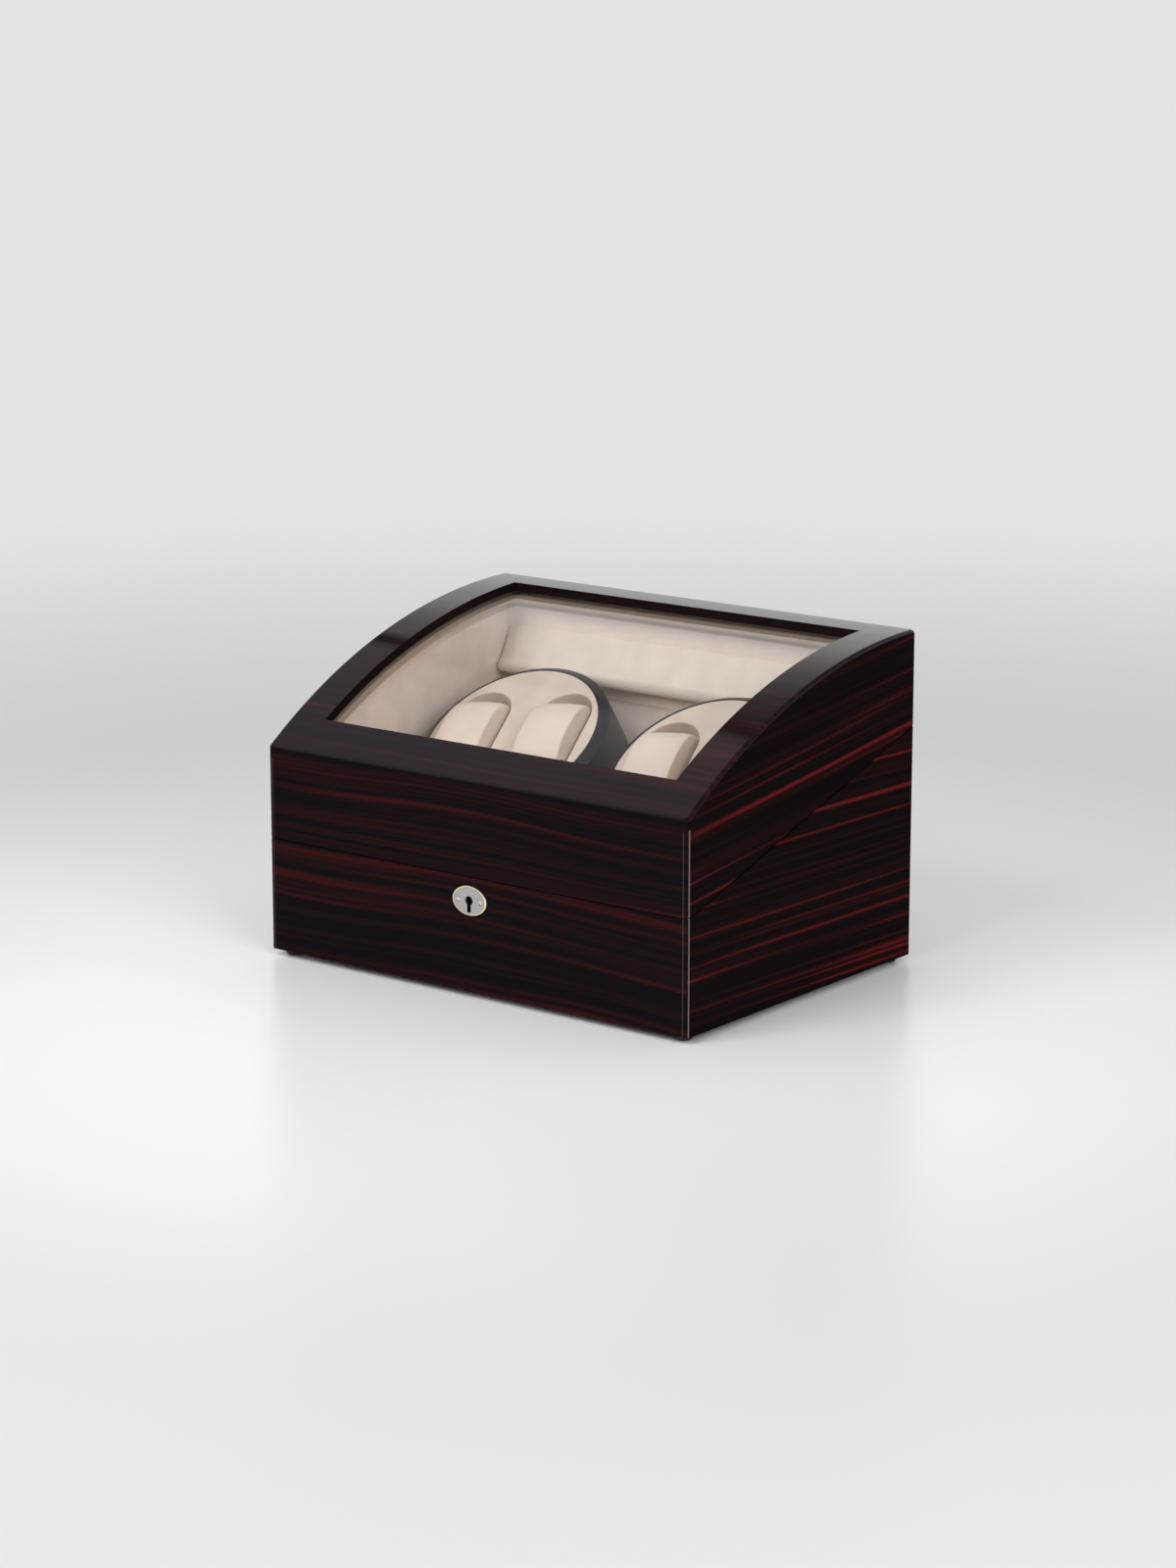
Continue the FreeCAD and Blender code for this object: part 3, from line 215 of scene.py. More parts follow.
# Pale lines painted along the rounded corners of the boards: a painted highlight.
CORNER_HIGHLIGHT_COLOUR = (0.26, 0.22, 0.22, 1)
CORNER_HIGHLIGHT_WIDTH = 0.0006
FRONT_HIGHLIGHT_INSET = 0.0028
FRONT_HIGHLIGHT_STRENGTH = 0.15
SIDE_HIGHLIGHT_STRENGTH = 0.5
NOISE_ROUGHNESS = 0.55
SWING_SCALES = (3.4, 6.0)
STRIPE_SCALES = (1.8, 210.0)
STRIPE_DETAIL = 1.5
STRIPE_SEED = 3.1
BAND_SCALES = (3.0, 55.0)
BAND_SEED = 5.3
BAND_SHARE = 0.30
HAIR_SCALES = (5.0, 520.0)
HAIR_SEED = 1.9
HAIR_SHARE = 0.26
BLACK_STEP = -0.10
RED_STEP = 0.05
BRIGHT_STEPS = (0.22, 0.30)


def give(finish, *names):
    """Put a finish on CAD pieces."""
    for name in names:
        mesh = cad_nodes[name].data
        mesh.materials.clear()
        mesh.materials.append(finish)


def noise(tree, along, across, seed, scales, fineness=1.0, detail=1.0):
    """Noise drawn out along the grain; scales are how quickly it changes along and across."""
    run = calc(tree, "MULTIPLY", along, scales[0])
    step = calc(tree, "MULTIPLY", across, scales[1] * fineness)
    spot = add_node(tree, "ShaderNodeCombineXYZ", {"X": run, "Y": step, "Z": seed}).outputs["Vector"]
    inputs = {"Vector": spot, "Scale": 1.0, "Detail": detail, "Roughness": NOISE_ROUGHNESS}
    return add_node(tree, "ShaderNodeTexNoise", inputs).outputs["Fac"]


def stripes(tree, along, across, rise, wave, seed, fineness, colours, cut):
    """Streaks that run along one way and climb by rise, in waves of a given height. The higher
    the cut, the more of the face is black."""
    swing = noise(tree, along, across, seed, SWING_SCALES)
    level = calc(tree, "MULTIPLY_ADD", along, -rise, across)
    level = calc(tree, "MULTIPLY_ADD", swing, wave, level)
    stripe = noise(tree, along, level, seed + STRIPE_SEED, STRIPE_SCALES, fineness, STRIPE_DETAIL)
    band = noise(tree, along, level, seed + BAND_SEED, BAND_SCALES)
    hair = noise(tree, along, level, seed + HAIR_SEED, HAIR_SCALES, fineness)
    streak = calc(tree, "MULTIPLY_ADD", band, BAND_SHARE, stripe)
    streak = calc(tree, "MULTIPLY_ADD", hair, HAIR_SHARE, streak)
    black, red, bright = colours
    stops = [(cut + BLACK_STEP, black), (cut + RED_STEP, red)]
    stops += [(cut + step, bright) for step in BRIGHT_STEPS]
    return add_ramp(tree, streak, stops)


def lacquer(shader, shade, gloss):
    """Clear gloss over a wood colour; gloss is how much of it shows on this face."""
    tree = shader.id_data
    tree.links.new(shade, shader.inputs["Base Color"])
    shader.inputs["Roughness"].default_value = WOOD_ROUGHNESS
    shader.inputs["Specular IOR Level"].default_value = 0.0
    shader.inputs["Coat Roughness"].default_value = LACQUER_ROUGHNESS
    shader.inputs["Coat IOR"].default_value = LACQUER_IOR
    if isinstance(gloss, float):
        shader.inputs["Coat Weight"].default_value = gloss
    else:
        tree.links.new(gloss, shader.inputs["Coat Weight"])


def wall_veneer(name, along_axis, grain, edges, highlight_strength):
    """Veneer on an upright board. edges are the places along the grain of the pale lines
    painted over the rounded corners as a painted highlight."""
    finish, tree, shader = new_finish(name)
    place = add_node(tree, "ShaderNodeTexCoord").outputs["Object"]
    parts = add_node(tree, "ShaderNodeSeparateXYZ", {"Vector": place})
    along = parts.outputs[along_axis]
    shade = stripes(tree, along, parts.outputs["Z"], **grain)
    # Pale line over each corner round: painted highlight.
    for edge in edges:
        away = calc(tree, "ABSOLUTE", calc(tree, "SUBTRACT", along, edge))
        shade = mix_colours(tree, ease(tree, away, 0.0, CORNER_HIGHLIGHT_WIDTH, highlight_strength, 0.0), shade, CORNER_HIGHLIGHT_COLOUR)
    lacquer(shader, shade, WALL_GLOSS)
    return finish


front_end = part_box("base_front")[1].x - FRONT_HIGHLIGHT_INSET
front_highlight_lines = (front_end, -front_end)
side_low, side_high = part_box("base_right")
side_highlight_lines = (side_low.y + CORNER_HIGHLIGHT_WIDTH, side_high.y - CORNER_HIGHLIGHT_WIDTH)
for word, storey in (("base", "low"), ("lid", "high")):
    front = wall_veneer("veneer_front_" + storey, "X", FRONT_GRAIN[storey], front_highlight_lines, FRONT_HIGHLIGHT_STRENGTH)
    give(front, word + "_front")
    back = wall_veneer("veneer_back_" + storey, "X", BACK_GRAIN[storey], front_highlight_lines, FRONT_HIGHLIGHT_STRENGTH)
    give(back, word + "_back")
    side = wall_veneer("veneer_side_" + storey, "Y", SIDE_GRAIN[storey], side_highlight_lines, SIDE_HIGHLIGHT_STRENGTH)
    give(side, word + "_left", word + "_right")


# Arched top: one veneered board bent over the lid and cut out for the window. Its grain runs across
# the box, the veneer of the walls below is carried up over its edges, and the cut edge is stained black.
TOP_GLOSS = 1.0
TOP_COLOURS = ((0.0036, 0.0015, 0.0024, 1), (0.0090, 0.0020, 0.0026, 1), (0.024, 0.0038, 0.0040, 1))
TOP_GRAIN = dict(rise=0.0, wave=0.020, seed=77.1, fineness=1.0, colours=TOP_COLOURS, cut=0.74)
CUT_EDGE = (0.0085, 0.0046, 0.0042, 1)
TOP_FACING = (0.25, 0.75)
SIDE_FACING = (0.45, 0.75)
BACK_BLEND = (-0.02, 0.02)

finish, tree, shader = new_finish("veneer_top")
own = add_node(tree, "ShaderNodeTexCoord")
parts = add_node(tree, "ShaderNodeSeparateXYZ", {"Vector": own.outputs["Object"]})
x, y, z = [parts.outputs[axis] for axis in "XYZ"]
facing = add_node(tree, "ShaderNodeSeparateXYZ", {"Vector": own.outputs["Normal"]})
upward = ease(tree, facing.outputs["Z"], *TOP_FACING)
sideways = ease(tree, calc(tree, "ABSOLUTE", facing.outputs["X"]), *SIDE_FACING)
front = stripes(tree, x, z, **FRONT_GRAIN["high"])
back = stripes(tree, x, z, **BACK_GRAIN["high"])
upright = mix_colours(tree, ease(tree, y, *BACK_BLEND), front, back)
upright = mix_colours(tree, sideways, upright, stripes(tree, y, z, **SIDE_GRAIN["high"]))
inward = calc(tree, "MULTIPLY", y, facing.outputs["Y"])
inward = calc(tree, "MULTIPLY_ADD", x, facing.outputs["X"], inward)
upright = mix_colours(tree, calc(tree, "LESS_THAN", inward, 0.0), upright, CUT_EDGE)
shade = mix_colours(tree, upward, upright, stripes(tree, x, y, **TOP_GRAIN))
lacquer(shader, shade, calc(tree, "MULTIPLY_ADD", upward, TOP_GLOSS - WALL_GLOSS, WALL_GLOSS))
give(finish, "lid_top_frame")


# Floor board and feet: a black painted panel let into the underside of the boards,
# standing on four short rubber feet near the corners.
BOARD_PAINT = (0.012, 0.011, 0.011, 1)
BOARD_ROUGHNESS = 0.55
RUBBER_BLACK = (0.010, 0.010, 0.011, 1)
RUBBER_ROUGHNESS = 0.62
COLOUR_SPREAD = (0.86, 1.14)
WEAR_SPREAD = (0.85, 1.15)
PATCH_TO_GRAIN = 6
DARK_STOP = 0.3
LIGHT_STOP = 0.7


def mottle(tree, place, scale, detail, colour, spread):
    """A colour that is a little uneven, from the low to the high of spread times itself."""
    spots = add_node(tree, "ShaderNodeTexNoise", {"Vector": place, "Scale": scale, "Detail": detail})
    dark = tuple(c * spread[0] for c in colour[:3]) + (1,)
    light = tuple(min(c * spread[1], 1.0) for c in colour[:3]) + (1,)
    return add_ramp(tree, spots.outputs["Fac"], [(DARK_STOP, dark), (LIGHT_STOP, light)])


def grained(name, colour, roughness, metallic=0.0, grain=900.0, depth=0.00003, stretch=(1, 1, 1)):
    """A moulded, painted or brushed finish: slightly uneven colour over a fine grain."""
    finish, tree, shader = new_finish(name)
    place = add_node(tree, "ShaderNodeTexCoord").outputs["Object"]
    drawn = add_node(tree, "ShaderNodeMapping", {"Vector": place, "Scale": stretch}).outputs["Vector"]
    shade = mottle(tree, drawn, grain / PATCH_TO_GRAIN, 3.0, colour, COLOUR_SPREAD)
    tree.links.new(shade, shader.inputs["Base Color"])
    fine = add_node(tree, "ShaderNodeTexNoise", {"Vector": drawn, "Scale": grain, "Detail": 2.0})
    smoothest, roughest = [roughness * wear for wear in WEAR_SPREAD]
    worn = ease(tree, fine.outputs["Fac"], 0.0, 1.0, smoothest, roughest, slope="LINEAR")
    tree.links.new(worn, shader.inputs["Roughness"])
    bump = add_node(tree, "ShaderNodeBump", {"Height": fine.outputs["Fac"], "Distance": depth})
    tree.links.new(bump.outputs["Normal"], shader.inputs["Normal"])
    shader.inputs["Metallic"].default_value = metallic
    return finish


give(grained("black_board", BOARD_PAINT, BOARD_ROUGHNESS), "base_floor")
rubber = grained("black_rubber", RUBBER_BLACK, RUBBER_ROUGHNESS)
give(rubber, "feet", "drive_belt_left", "drive_belt_right")


# Lock: an oval plate with a gilt edge, screwed over the keyhole in the front board.
# The lock case and its bolt are zinc plated, and the strike sits in the lid's rim.
NICKEL = (0.46, 0.455, 0.44, 1)
NICKEL_ROUGHNESS = 0.32
NICKEL_GRAIN = 1400.0
NICKEL_BRUSHING = (0.15, 1, 1)
METAL_DEPTH = 0.00001
GILT = (0.86, 0.78, 0.58, 1)
# A dark ring painted between the nickel face and the gilt edge: painted shade.
RIM_PAINTED_SHADE = (0.30, 0.27, 0.20, 1)
RIM_STOPS = [(0.84, NICKEL), (0.88, RIM_PAINTED_SHADE), (0.92, GILT), (1.0, GILT)]
PLATE_ROUGHNESS = 0.30
PLATE_LINES = 2500.0
PLATE_BRUSHING = (0.1, 1, 1)
ZINC = (0.48, 0.48, 0.49, 1)
ZINC_ROUGHNESS = 0.36
ZINC_GRAIN = 1100.0

plate_low, plate_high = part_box("lock_plate")
plate_middle = (plate_low + plate_high) / 2
plate_half = (plate_high - plate_low) / 2
plate, tree, shader = new_finish("lock_plate_nickel")
place = add_node(tree, "ShaderNodeTexCoord").outputs["Object"]
centred = add_node(tree, "ShaderNodeVectorMath", {0: place, 1: plate_middle}, operation="SUBTRACT")
oval_scale = (1 / plate_half.x, 0, 1 / plate_half.z)
oval = add_node(tree, "ShaderNodeVectorMath", {0: centred.outputs[0], 1: oval_scale}, operation="MULTIPLY")
reach = add_node(tree, "ShaderNodeVectorMath", {0: oval.outputs[0]}, operation="LENGTH").outputs["Value"]
tree.links.new(add_ramp(tree, reach, RIM_STOPS), shader.inputs["Base Color"])
shader.inputs["Metallic"].default_value = 1.0
shader.inputs["Roughness"].default_value = PLATE_ROUGHNESS
brushing = add_node(tree, "ShaderNodeMapping", {"Vector": place, "Scale": PLATE_BRUSHING}).outputs["Vector"]
lines = add_node(tree, "ShaderNodeTexNoise", {"Vector": brushing, "Scale": PLATE_LINES, "Detail": 2.0})
bump = add_node(tree, "ShaderNodeBump", {"Height": lines.outputs["Fac"], "Distance": METAL_DEPTH})
tree.links.new(bump.outputs["Normal"], shader.inputs["Normal"])
give(plate, "lock_plate")
nickel = grained("satin_nickel", NICKEL, NICKEL_ROUGHNESS, 1.0, NICKEL_GRAIN, METAL_DEPTH, NICKEL_BRUSHING)
give(nickel, "strike_plate")
zinc = grained("zinc_plate", ZINC, ZINC_ROUGHNESS, 1.0, ZINC_GRAIN, METAL_DEPTH)
give(zinc, "lock_body", "lock_bolt")


# Lock screws: two nickelled screws with slotted heads, sunk a little below the face of the plate
# so that a ring of the countersink shows round each.
SCREW_HEAD = 0.0015
SCREW_SHANK = 0.0010
SCREW_CENTRE = 0.0090
SCREW_SUNK = 0.0004
SCREW_SIDES = 40
SLOT_LENGTH = 0.0045
SLOT_WIDTH = 0.00045
SLOT_DEPTH = 0.00035
SLOT_TURN = math.radians(60)
SHARP_ANGLE = math.radians(30)
SCREW_NICKEL = (0.72, 0.71, 0.69, 1)
SCREW_ROUGHNESS = 0.28

screw_low, screw_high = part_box("lock_plate_screws")
screw_height = (screw_low.z + screw_high.z) / 2
head_depth = SCREW_HEAD - SCREW_SHANK
shank_length = screw_high.y - screw_low.y - SCREW_SUNK - head_depth

bpy.ops.object.select_all(action="DESELECT")
bpy.ops.mesh.primitive_cylinder_add(
    vertices=SCREW_SIDES, radius=SCREW_HEAD, depth=head_depth, location=(0, 0, -head_depth / 2))
screw = bpy.context.object
bpy.ops.object.transform_apply(location=True, rotation=True, scale=True)
for face in screw.data.polygons:
    face.select = face.normal.z < -0.5
for edge in screw.data.edges:
    edge.select = False
for vertex in screw.data.vertices:
    vertex.select = vertex.co.z < -head_depth / 2
bpy.ops.object.mode_set(mode="EDIT")
taper = SCREW_SHANK / SCREW_HEAD
bpy.ops.transform.resize(value=(taper, taper, 1), center_override=(0, 0, -head_depth))
bpy.ops.mesh.extrude_region_move(TRANSFORM_OT_translate={"value": (0, 0, -shank_length)})
bpy.ops.object.mode_set(mode="OBJECT")

bpy.ops.object.select_all(action="DESELECT")
bpy.ops.mesh.primitive_cube_add(size=1, rotation=(0, 0, SLOT_TURN))
cutter = bpy.context.object
cutter.scale = (SLOT_LENGTH, SLOT_WIDTH, 2 * SLOT_DEPTH)
bpy.ops.object.transform_apply(location=True, rotation=True, scale=True)
bpy.ops.object.select_all(action="DESELECT")
bpy.context.view_layer.objects.active = screw
screw.select_set(True)
slot = screw.modifiers.new("Slot", "BOOLEAN")
slot.operation = "DIFFERENCE"
slot.object = cutter
bpy.ops.object.modifier_apply(modifier="Slot")
bpy.data.objects.remove(cutter)
bpy.ops.object.shade_smooth_by_angle(angle=SHARP_ANGLE)

screw_pair = []
for side in (-1, 1):
    made = bpy.data.objects.new("slotted_lock_screws", screw.data.copy())
    scene.collection.objects.link(made)
    seat = Matrix.Translation((side * SCREW_CENTRE, screw_low.y + SCREW_SUNK, screw_height))
    made.data.transform(seat @ Matrix.Rotation(math.pi / 2, 4, "X"))
    screw_pair.append(made)
bpy.data.objects.remove(screw)
bpy.ops.object.select_all(action="DESELECT")
for made in screw_pair:
    made.select_set(True)
bpy.context.view_layer.objects.active = screw_pair[0]
bpy.ops.object.join()
screws = bpy.context.object
screws.data.materials.clear()
screw_finish = grained("screw_nickel", SCREW_NICKEL, SCREW_ROUGHNESS, 1.0, NICKEL_GRAIN, METAL_DEPTH)
screws.data.materials.append(screw_finish)
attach(screws, "base")
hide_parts("lock_plate_screws")


# Linings, deck and riser: beige suede cloth glued over card on the walls and over the sloping deck
# that carries the turntables. The nap leaves soft lighter and darker patches.
SUEDE = (0.90, 0.75, 0.635, 1)
SUEDE_SPREAD = (0.93, 1.05)
SUEDE_PATCHES = 60.0
SUEDE_ROUGHNESS = 0.92
SUEDE_SPECULAR = 0.12
SHEEN = 0.18
SHEEN_ROUGHNESS = 0.5
NAP_SCALE = 1500.0
NAP_DEPTH = 0.00025
NAP_STRENGTH = 0.5
# Deck and riser cloth darker than the lining: a greyer cloth, darkened further as painted shade of the deck
# behind the turntables.
DECK_SUEDE_PAINTED_SHADE = (0.62, 0.53, 0.46, 1)


def suede(name, colour, spread=SUEDE_SPREAD):
    """Short-napped cloth: soft patches, a fine fibre grain and a sheen at the edges."""
    finish, tree, shader = new_finish(name)
    place = add_node(tree, "ShaderNodeTexCoord").outputs["Object"]
    tree.links.new(mottle(tree, place, SUEDE_PATCHES, 4.0, colour, spread), shader.inputs["Base Color"])
    nap = add_node(tree, "ShaderNodeTexNoise", {"Vector": place, "Scale": NAP_SCALE, "Detail": 3.0})
    bump = add_node(tree, "ShaderNodeBump", {
        "Height": nap.outputs["Fac"], "Distance": NAP_DEPTH, "Strength": NAP_STRENGTH,
    })
    tree.links.new(bump.outputs["Normal"], shader.inputs["Normal"])
    shader.inputs["Roughness"].default_value = SUEDE_ROUGHNESS
    shader.inputs["Specular IOR Level"].default_value = SUEDE_SPECULAR
    shader.inputs["Sheen Weight"].default_value = SHEEN
    shader.inputs["Sheen Roughness"].default_value = SHEEN_ROUGHNESS
    return finish


give(suede("suede_lining", SUEDE), "base_lining", "lid_lining")
give(suede("suede_deck_painted_shade", DECK_SUEDE_PAINTED_SHADE), "deck", "deck_riser")


# Drives and controls: under the deck, two geared motors on bent brackets turn the spindles over
# rubber belts. The switches with their circuit board sit on the inside of the back board, and the
# power socket goes through it. Each knob has a white line printed on it.
PLASTIC_BLACK = (0.014, 0.014, 0.015, 1)
PLASTIC_ROUGHNESS = 0.38
BRONZE = (0.42, 0.24, 0.10, 1)
BRONZE_ROUGHNESS = 0.45
MASK_GREEN = (0.012, 0.10, 0.035, 1)
MASK_ROUGHNESS = 0.35
POINTER_WHITE = (0.75, 0.75, 0.74, 1)
POINTER_HALF = 0.0005
POINTER_START = 0.0025

plastic = grained("black_plastic", PLASTIC_BLACK, PLASTIC_ROUGHNESS)
give(plastic, "drive_pulley_left", "drive_pulley_right", "motor_pulley_left", "motor_pulley_right")
give(plastic, "mode_switches", "power_socket")
for word in ("left", "right"):
    node = "mode_knob_" + word
    knob = grained("knob_plastic_" + word, PLASTIC_BLACK, PLASTIC_ROUGHNESS)
    tree = knob.node_tree
    shader = tree.nodes["Principled BSDF"]
    low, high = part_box(node)
    middle = (low + high) / 2
    place = add_node(tree, "ShaderNodeTexCoord").outputs["Object"]
    parts = add_node(tree, "ShaderNodeSeparateXYZ", {"Vector": place})
    aside = calc(tree, "ABSOLUTE", calc(tree, "SUBTRACT", parts.outputs["X"], middle.x))
    above = calc(tree, "GREATER_THAN", parts.outputs["Z"], middle.z + POINTER_START)
    line = calc(tree, "MULTIPLY", calc(tree, "LESS_THAN", aside, POINTER_HALF), above)
    plain = shader.inputs["Base Color"].links[0].from_socket
    tree.links.new(mix_colours(tree, line, plain, POINTER_WHITE), shader.inputs["Base Color"])
    give(knob, node)
give(zinc, "spindle_left", "spindle_right", "motor_left", "motor_right", "motor_brackets")
give(grained("sintered_bronze", BRONZE, BRONZE_ROUGHNESS, 1.0), "spindle_bushes")
give(grained("green_mask", MASK_GREEN, MASK_ROUGHNESS), "circuit_board")


# Turntables: a satin charcoal drum with a sloping rim, closed by a suede-covered face
# with two pockets for the cushions.
DRUM_CHARCOAL = (0.026, 0.026, 0.031, 1)
DRUM_ROUGHNESS = 0.42
FACE_SUEDE = (0.70, 0.58, 0.485, 1)

drum_finish = grained("drum_charcoal", DRUM_CHARCOAL, DRUM_ROUGHNESS)
give(drum_finish, "turntable_drum_left", "turntable_drum_right")
give(suede("suede_face", FACE_SUEDE), "turntable_face_left", "turntable_face_right")


# Turntable cushions: foam rolls of oval section covered in suede, seamed round both ends,
# pushed by hand into the pockets of the faces and held there by their own spring.
CUSHION_WIDTH = 0.037
CUSHION_LENGTH = 0.065
CUSHION_HEIGHT = 0.042
CUSHION_TUCK = 0.0012
CUSHION_SWELL = 0.0016
CUSHION_POINTS = 72
CUSHION_SQUARENESS = 2.6
CUSHION_END_RINGS = (0.25, 0.5, 0.72, 0.90)
CUSHION_STATIONS = 9
CUSHION_TUCK_POWER = 4
CUSHION_SUEDE = (0.78, 0.65, 0.545, 1)
CUSHION_SPREAD = (0.95, 1.04)
CUSHION_SINK = -0.0072
POCKET_OFFSET = 0.0315
FACE_TURN = math.radians(9)
STUFFING_PRESSURE = 4.0
SWELL_FRAMES = 20


def oval_ring(x, half_length, half_height):
    """Points round a squarish oval that stands across x."""
    ring = []
    for i in range(CUSHION_POINTS):
        angle = 2 * math.pi * i / CUSHION_POINTS
        c, s = math.cos(angle), math.sin(angle)
        y = math.copysign(abs(c) ** (2 / CUSHION_SQUARENESS), c) * half_length
        z = math.copysign(abs(s) ** (2 / CUSHION_SQUARENESS), s) * half_height
        ring.append(Vector((x, y, z)))
    return ring


def skin_of(name, rings):
    """A closed skin through rings of points, drawn together to one point at each end."""
    skin = bmesh.new()
    made = [[skin.verts.new(p) for p in ring] for ring in rings]
    count = len(made[0])
    for ring, beyond in zip(made, made[1:]):
        for i in range(count):
            j = (i + 1) % count
            skin.faces.new((ring[i], ring[j], beyond[j], beyond[i]))
    for ring in (made[0], made[-1]):
        middle = skin.verts.new(sum((v.co for v in ring), Vector()) / count)
        for i in range(count):
            skin.faces.new((ring[i], ring[(i + 1) % count], middle))
    bmesh.ops.recalc_face_normals(skin, faces=skin.faces)
    mesh = bpy.data.meshes.new(name)
    skin.to_mesh(mesh)
    skin.free()
    piece = bpy.data.objects.new(name, mesh)
    scene.collection.objects.link(piece)
    return piece


def swell(piece, held, limit):
    """Blow the skin up like stuffed cloth, with the held points sewn down, by no more than limit."""
    bpy.ops.object.select_all(action="DESELECT")
    bpy.context.view_layer.objects.active = piece
    piece.select_set(True)
    before = [v.co.copy() for v in piece.data.vertices]
    sewn = piece.vertex_groups.new(name="sewn")
    sewn.add(held, 1.0, "REPLACE")
    cloth = piece.modifiers.new("Cloth", "CLOTH")
    cloth.settings.quality = 6
    cloth.settings.mass = 0.2
    cloth.settings.tension_stiffness = 8
    cloth.settings.compression_stiffness = 8
    cloth.settings.bending_stiffness = 0.3
    cloth.settings.vertex_group_mass = "sewn"
    cloth.settings.use_pressure = True
    cloth.settings.uniform_pressure_force = STUFFING_PRESSURE
    cloth.settings.effector_weights.gravity = 0
    cloth.point_cache.frame_start = 1
    cloth.point_cache.frame_end = SWELL_FRAMES
    for number in range(1, SWELL_FRAMES + 1):
        scene.frame_set(number)
    bpy.ops.object.modifier_apply(modifier="Cloth")
    scene.frame_set(1)
    for vertex, old in zip(piece.data.vertices, before):
        moved = vertex.co - old
        if moved.length > limit:
            vertex.co = old + moved * (limit / moved.length)
    piece.vertex_groups.clear()
    smooth = piece.modifiers.new("Subdivision", "SUBSURF")
    smooth.levels = 1
    smooth.render_levels = 1
    bpy.ops.object.modifier_apply(modifier="Subdivision")
    bpy.ops.object.shade_smooth()


def roll(name, width, length, height, tuck, limit):
    """A stuffed roll of oval section along x, with sewn seams round its two ends."""
    half = width / 2 - limit / 2
    half_length, half_height = length / 2, height / 2
    ends = len(CUSHION_END_RINGS)
    rings = []
    for k in CUSHION_END_RINGS:
        rings.append(oval_ring(-half, (half_length - tuck) * k, (half_height - tuck) * k))
    for i in range(CUSHION_STATIONS):
        x = half * (2 * i / (CUSHION_STATIONS - 1) - 1)
        draw = tuck * (abs(x) / half) ** CUSHION_TUCK_POWER + limit
        rings.append(oval_ring(x, half_length - draw, half_height - draw))
    rings += [[Vector((-p.x, p.y, p.z)) for p in ring] for ring in reversed(rings[:ends])]
    piece = skin_of(name, rings)
    seams = (ends, ends + CUSHION_STATIONS - 1)
    held = [ring * CUSHION_POINTS + i for ring in seams for i in range(CUSHION_POINTS)]
    swell(piece, held, limit)
    return piece


def lay(pattern, node, seat, body):
    """A copy of a sewn pattern in its place on a body, instead of the plain CAD cushion."""
    cushion = bpy.data.objects.new("soft_" + node, pattern.data.copy())
    scene.collection.objects.link(cushion)
    cushion.data.transform(seat)
    cushion.data.materials.append(cushion_finish)
    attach(cushion, body)
    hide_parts(node)


cushion_finish = suede("suede_cushion", CUSHION_SUEDE, CUSHION_SPREAD)
pattern = roll("cushion_pattern", CUSHION_WIDTH, CUSHION_LENGTH, CUSHION_HEIGHT, CUSHION_TUCK, CUSHION_SWELL)
joints = {joint["name"]: joint for joint in frame["joints"]}
for word in ("left", "right"):
    spin = joints["turntable_%s_spin" % word]
    tilt = math.atan2(-spin["axis"][1], spin["axis"][2])
    face = Matrix.Translation(spin["pos_m"]) @ Matrix.Rotation(tilt, 4, "X")
    face = face @ Matrix.Rotation(FACE_TURN, 4, "Z")
    for pocket, letter in ((-1, "a"), (1, "b")):
        seat = face @ Matrix.Translation((pocket * POCKET_OFFSET, 0, CUSHION_SINK))
        lay(pattern, "cushion_%s_%s" % (word, letter), seat, "turntable_" + word)
bpy.data.objects.remove(pattern)


# Storage cushions: six larger rolls of the same make and cloth, standing side by side
# in the bay before the turntables.
STORE_COUNT = 6
STORE_TUCK = 0.0015
STORE_SWELL = 0.0018

low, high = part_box("storage_cushion_1")
size = high - low
pattern = roll("storage_pattern", size.x, size.y, size.z, STORE_TUCK, STORE_SWELL)
for number in range(1, STORE_COUNT + 1):
    node = "storage_cushion_%d" % number
    low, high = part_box(node)
    lay(pattern, node, Matrix.Translation((low + high) / 2), "base")
bpy.data.objects.remove(pattern)


# Window: a clear pane laid under the arched top and held up by a cloth-covered frame.
# The pane mirrors the room a little, and more at a slant.
PANE_TINT = (0.97, 0.975, 0.975, 1)
PANE_MIRROR = 0.03
PANE_SLANT_POWER = 5.0
PANE_ROUGHNESS = 0.03
RETAINER_SUEDE = (0.44, 0.33, 0.25, 1)

pane, tree, shader = new_finish("clear_pane")
tree.nodes.remove(shader)
slant = add_node(tree, "ShaderNodeLayerWeight", {"Blend": 0.5}).outputs["Facing"]
power = calc(tree, "POWER", slant, PANE_SLANT_POWER)
mirrored = calc(tree, "MULTIPLY_ADD", power, 1 - PANE_MIRROR, PANE_MIRROR)
through = add_node(tree, "ShaderNodeBsdfTransparent", {"Color": PANE_TINT}).outputs["BSDF"]
gloss = add_node(tree, "ShaderNodeBsdfAnisotropic", {"Roughness": PANE_ROUGHNESS}).outputs["BSDF"]
glass = add_node(tree, "ShaderNodeMixShader", {0: mirrored, 1: through, 2: gloss}).outputs["Shader"]
tree.links.new(glass, tree.nodes["Material Output"].inputs["Surface"])
give(pane, "window_pane")
give(suede("suede_retainer", RETAINER_SUEDE), "window_retainer")


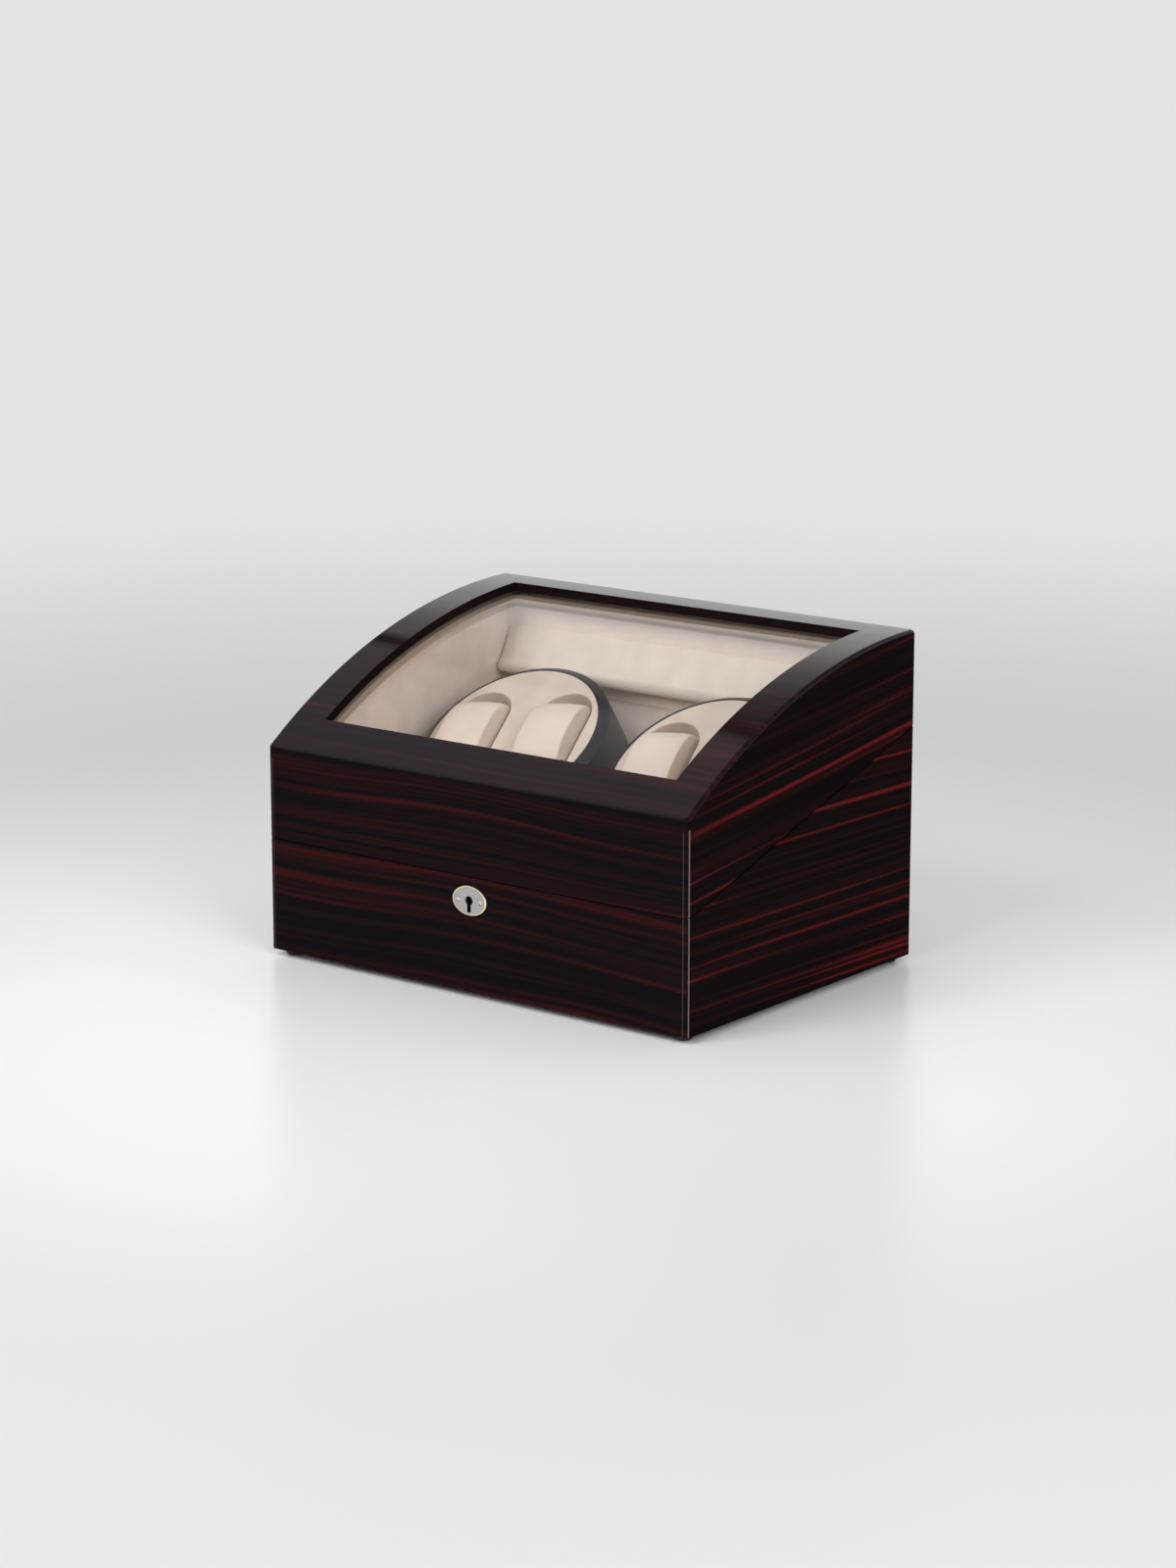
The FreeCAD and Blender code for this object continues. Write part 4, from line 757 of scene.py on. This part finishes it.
# Lid bolster: a padded roll along the back wall of the lid, sloping forward from the wall to a round
# nose above the turntables, under the same suede, sewn down along the wall and its underside.
PAD_COUNT = 49
PAD_SWELL = 0.0015
PAD_SLOPE = 0.3211
PAD_FRONT_ROOM = 0.001
PAD_NOSE_RISE = 0.011
PAD_NOSE_ROUND = 0.006
PAD_NOSE_START = math.radians(123)
PAD_NOSE_SWEEP = math.radians(125)
PAD_SLOPE_FACING = Vector((-0.55, 0.84)).normalized()
PAD_WALL_STEPS = 6
PAD_SLOPE_STEPS = 12
PAD_NOSE_STEPS = 8
PAD_TUCK = 0.0006
PAD_END_TUCK = 0.002
PAD_END_POWER = 24
PAD_CAP_RINGS = (0.3, 0.6, 0.85)
PAD_SEWN_WALL = 0.0012
PAD_SEWN_UNDER = 0.004
PAD_SUEDE = (0.86, 0.74, 0.64, 1)

pad_low, pad_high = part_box("lid_back_pad")


def pad_section(x, tuck):
    """The bolster's outline across x: back wall, long slope, round nose and underside."""
    back = pad_high.y - tuck / 2
    front = pad_low.y + PAD_FRONT_ROOM + tuck
    under_back = pad_low.z + PAD_SLOPE * (pad_high.y - pad_low.y) + tuck
    top = pad_high.z - tuck
    nose = Vector((front + PAD_NOSE_ROUND, pad_low.z + PAD_NOSE_RISE))
    slope_end = nose + PAD_SLOPE_FACING * PAD_NOSE_ROUND
    outline = []
    for i in range(PAD_WALL_STEPS):
        outline.append((back, under_back + (top - under_back) * i / PAD_WALL_STEPS))
    for i in range(PAD_SLOPE_STEPS):
        k = i / PAD_SLOPE_STEPS
        outline.append((back + (slope_end.x - back) * k, top + (slope_end.y - top) * k))
    for i in range(PAD_NOSE_STEPS + 1):
        angle = PAD_NOSE_START + PAD_NOSE_SWEEP * i / PAD_NOSE_STEPS
        c, s = math.cos(angle), math.sin(angle)
        outline.append((nose.x + PAD_NOSE_ROUND * c, nose.y + PAD_NOSE_ROUND * s))
    under = outline[-1]
    for i in range(1, PAD_WALL_STEPS):
        k = i / PAD_WALL_STEPS
        outline.append((under[0] + (back - under[0]) * k, under[1] + (under_back - under[1]) * k))
    return [Vector((x, y, z)) for y, z in outline]


rings = []
pad_half = (pad_high.x - pad_low.x) / 2 - PAD_SWELL
for i in range(PAD_COUNT):
    x = pad_half * (2 * i / (PAD_COUNT - 1) - 1)
    rings.append(pad_section(x, PAD_TUCK + PAD_END_TUCK * (abs(x) / pad_half) ** PAD_END_POWER))
middle = sum(rings[0], Vector()) / len(rings[0])
caps = [[middle + (p - middle) * k for p in rings[0]] for k in PAD_CAP_RINGS]
far_caps = [[Vector((-p.x, p.y, p.z)) for p in ring] for ring in reversed(caps)]
bolster = skin_of("soft_lid_back_pad", caps + rings + far_caps)
held = []
for vertex in bolster.data.vertices:
    if vertex.co.y > pad_high.y - PAD_SEWN_WALL or vertex.co.z < pad_low.z + PAD_SEWN_UNDER:
        held.append(vertex.index)
swell(bolster, held, PAD_SWELL)
bolster.data.materials.append(suede("suede_bolster", PAD_SUEDE, CUSHION_SPREAD))
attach(bolster, "lid")
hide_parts("lid_back_pad")


# Hinges: two nickelled butt hinges let into the rims of the back boards, each with two leaves
# that turn on a pin and are held by countersunk screws.
give(nickel, "hinge_base_leaves", "hinge_lid_leaves", "hinge_pins", "hinge_base_screws", "hinge_lid_screws")
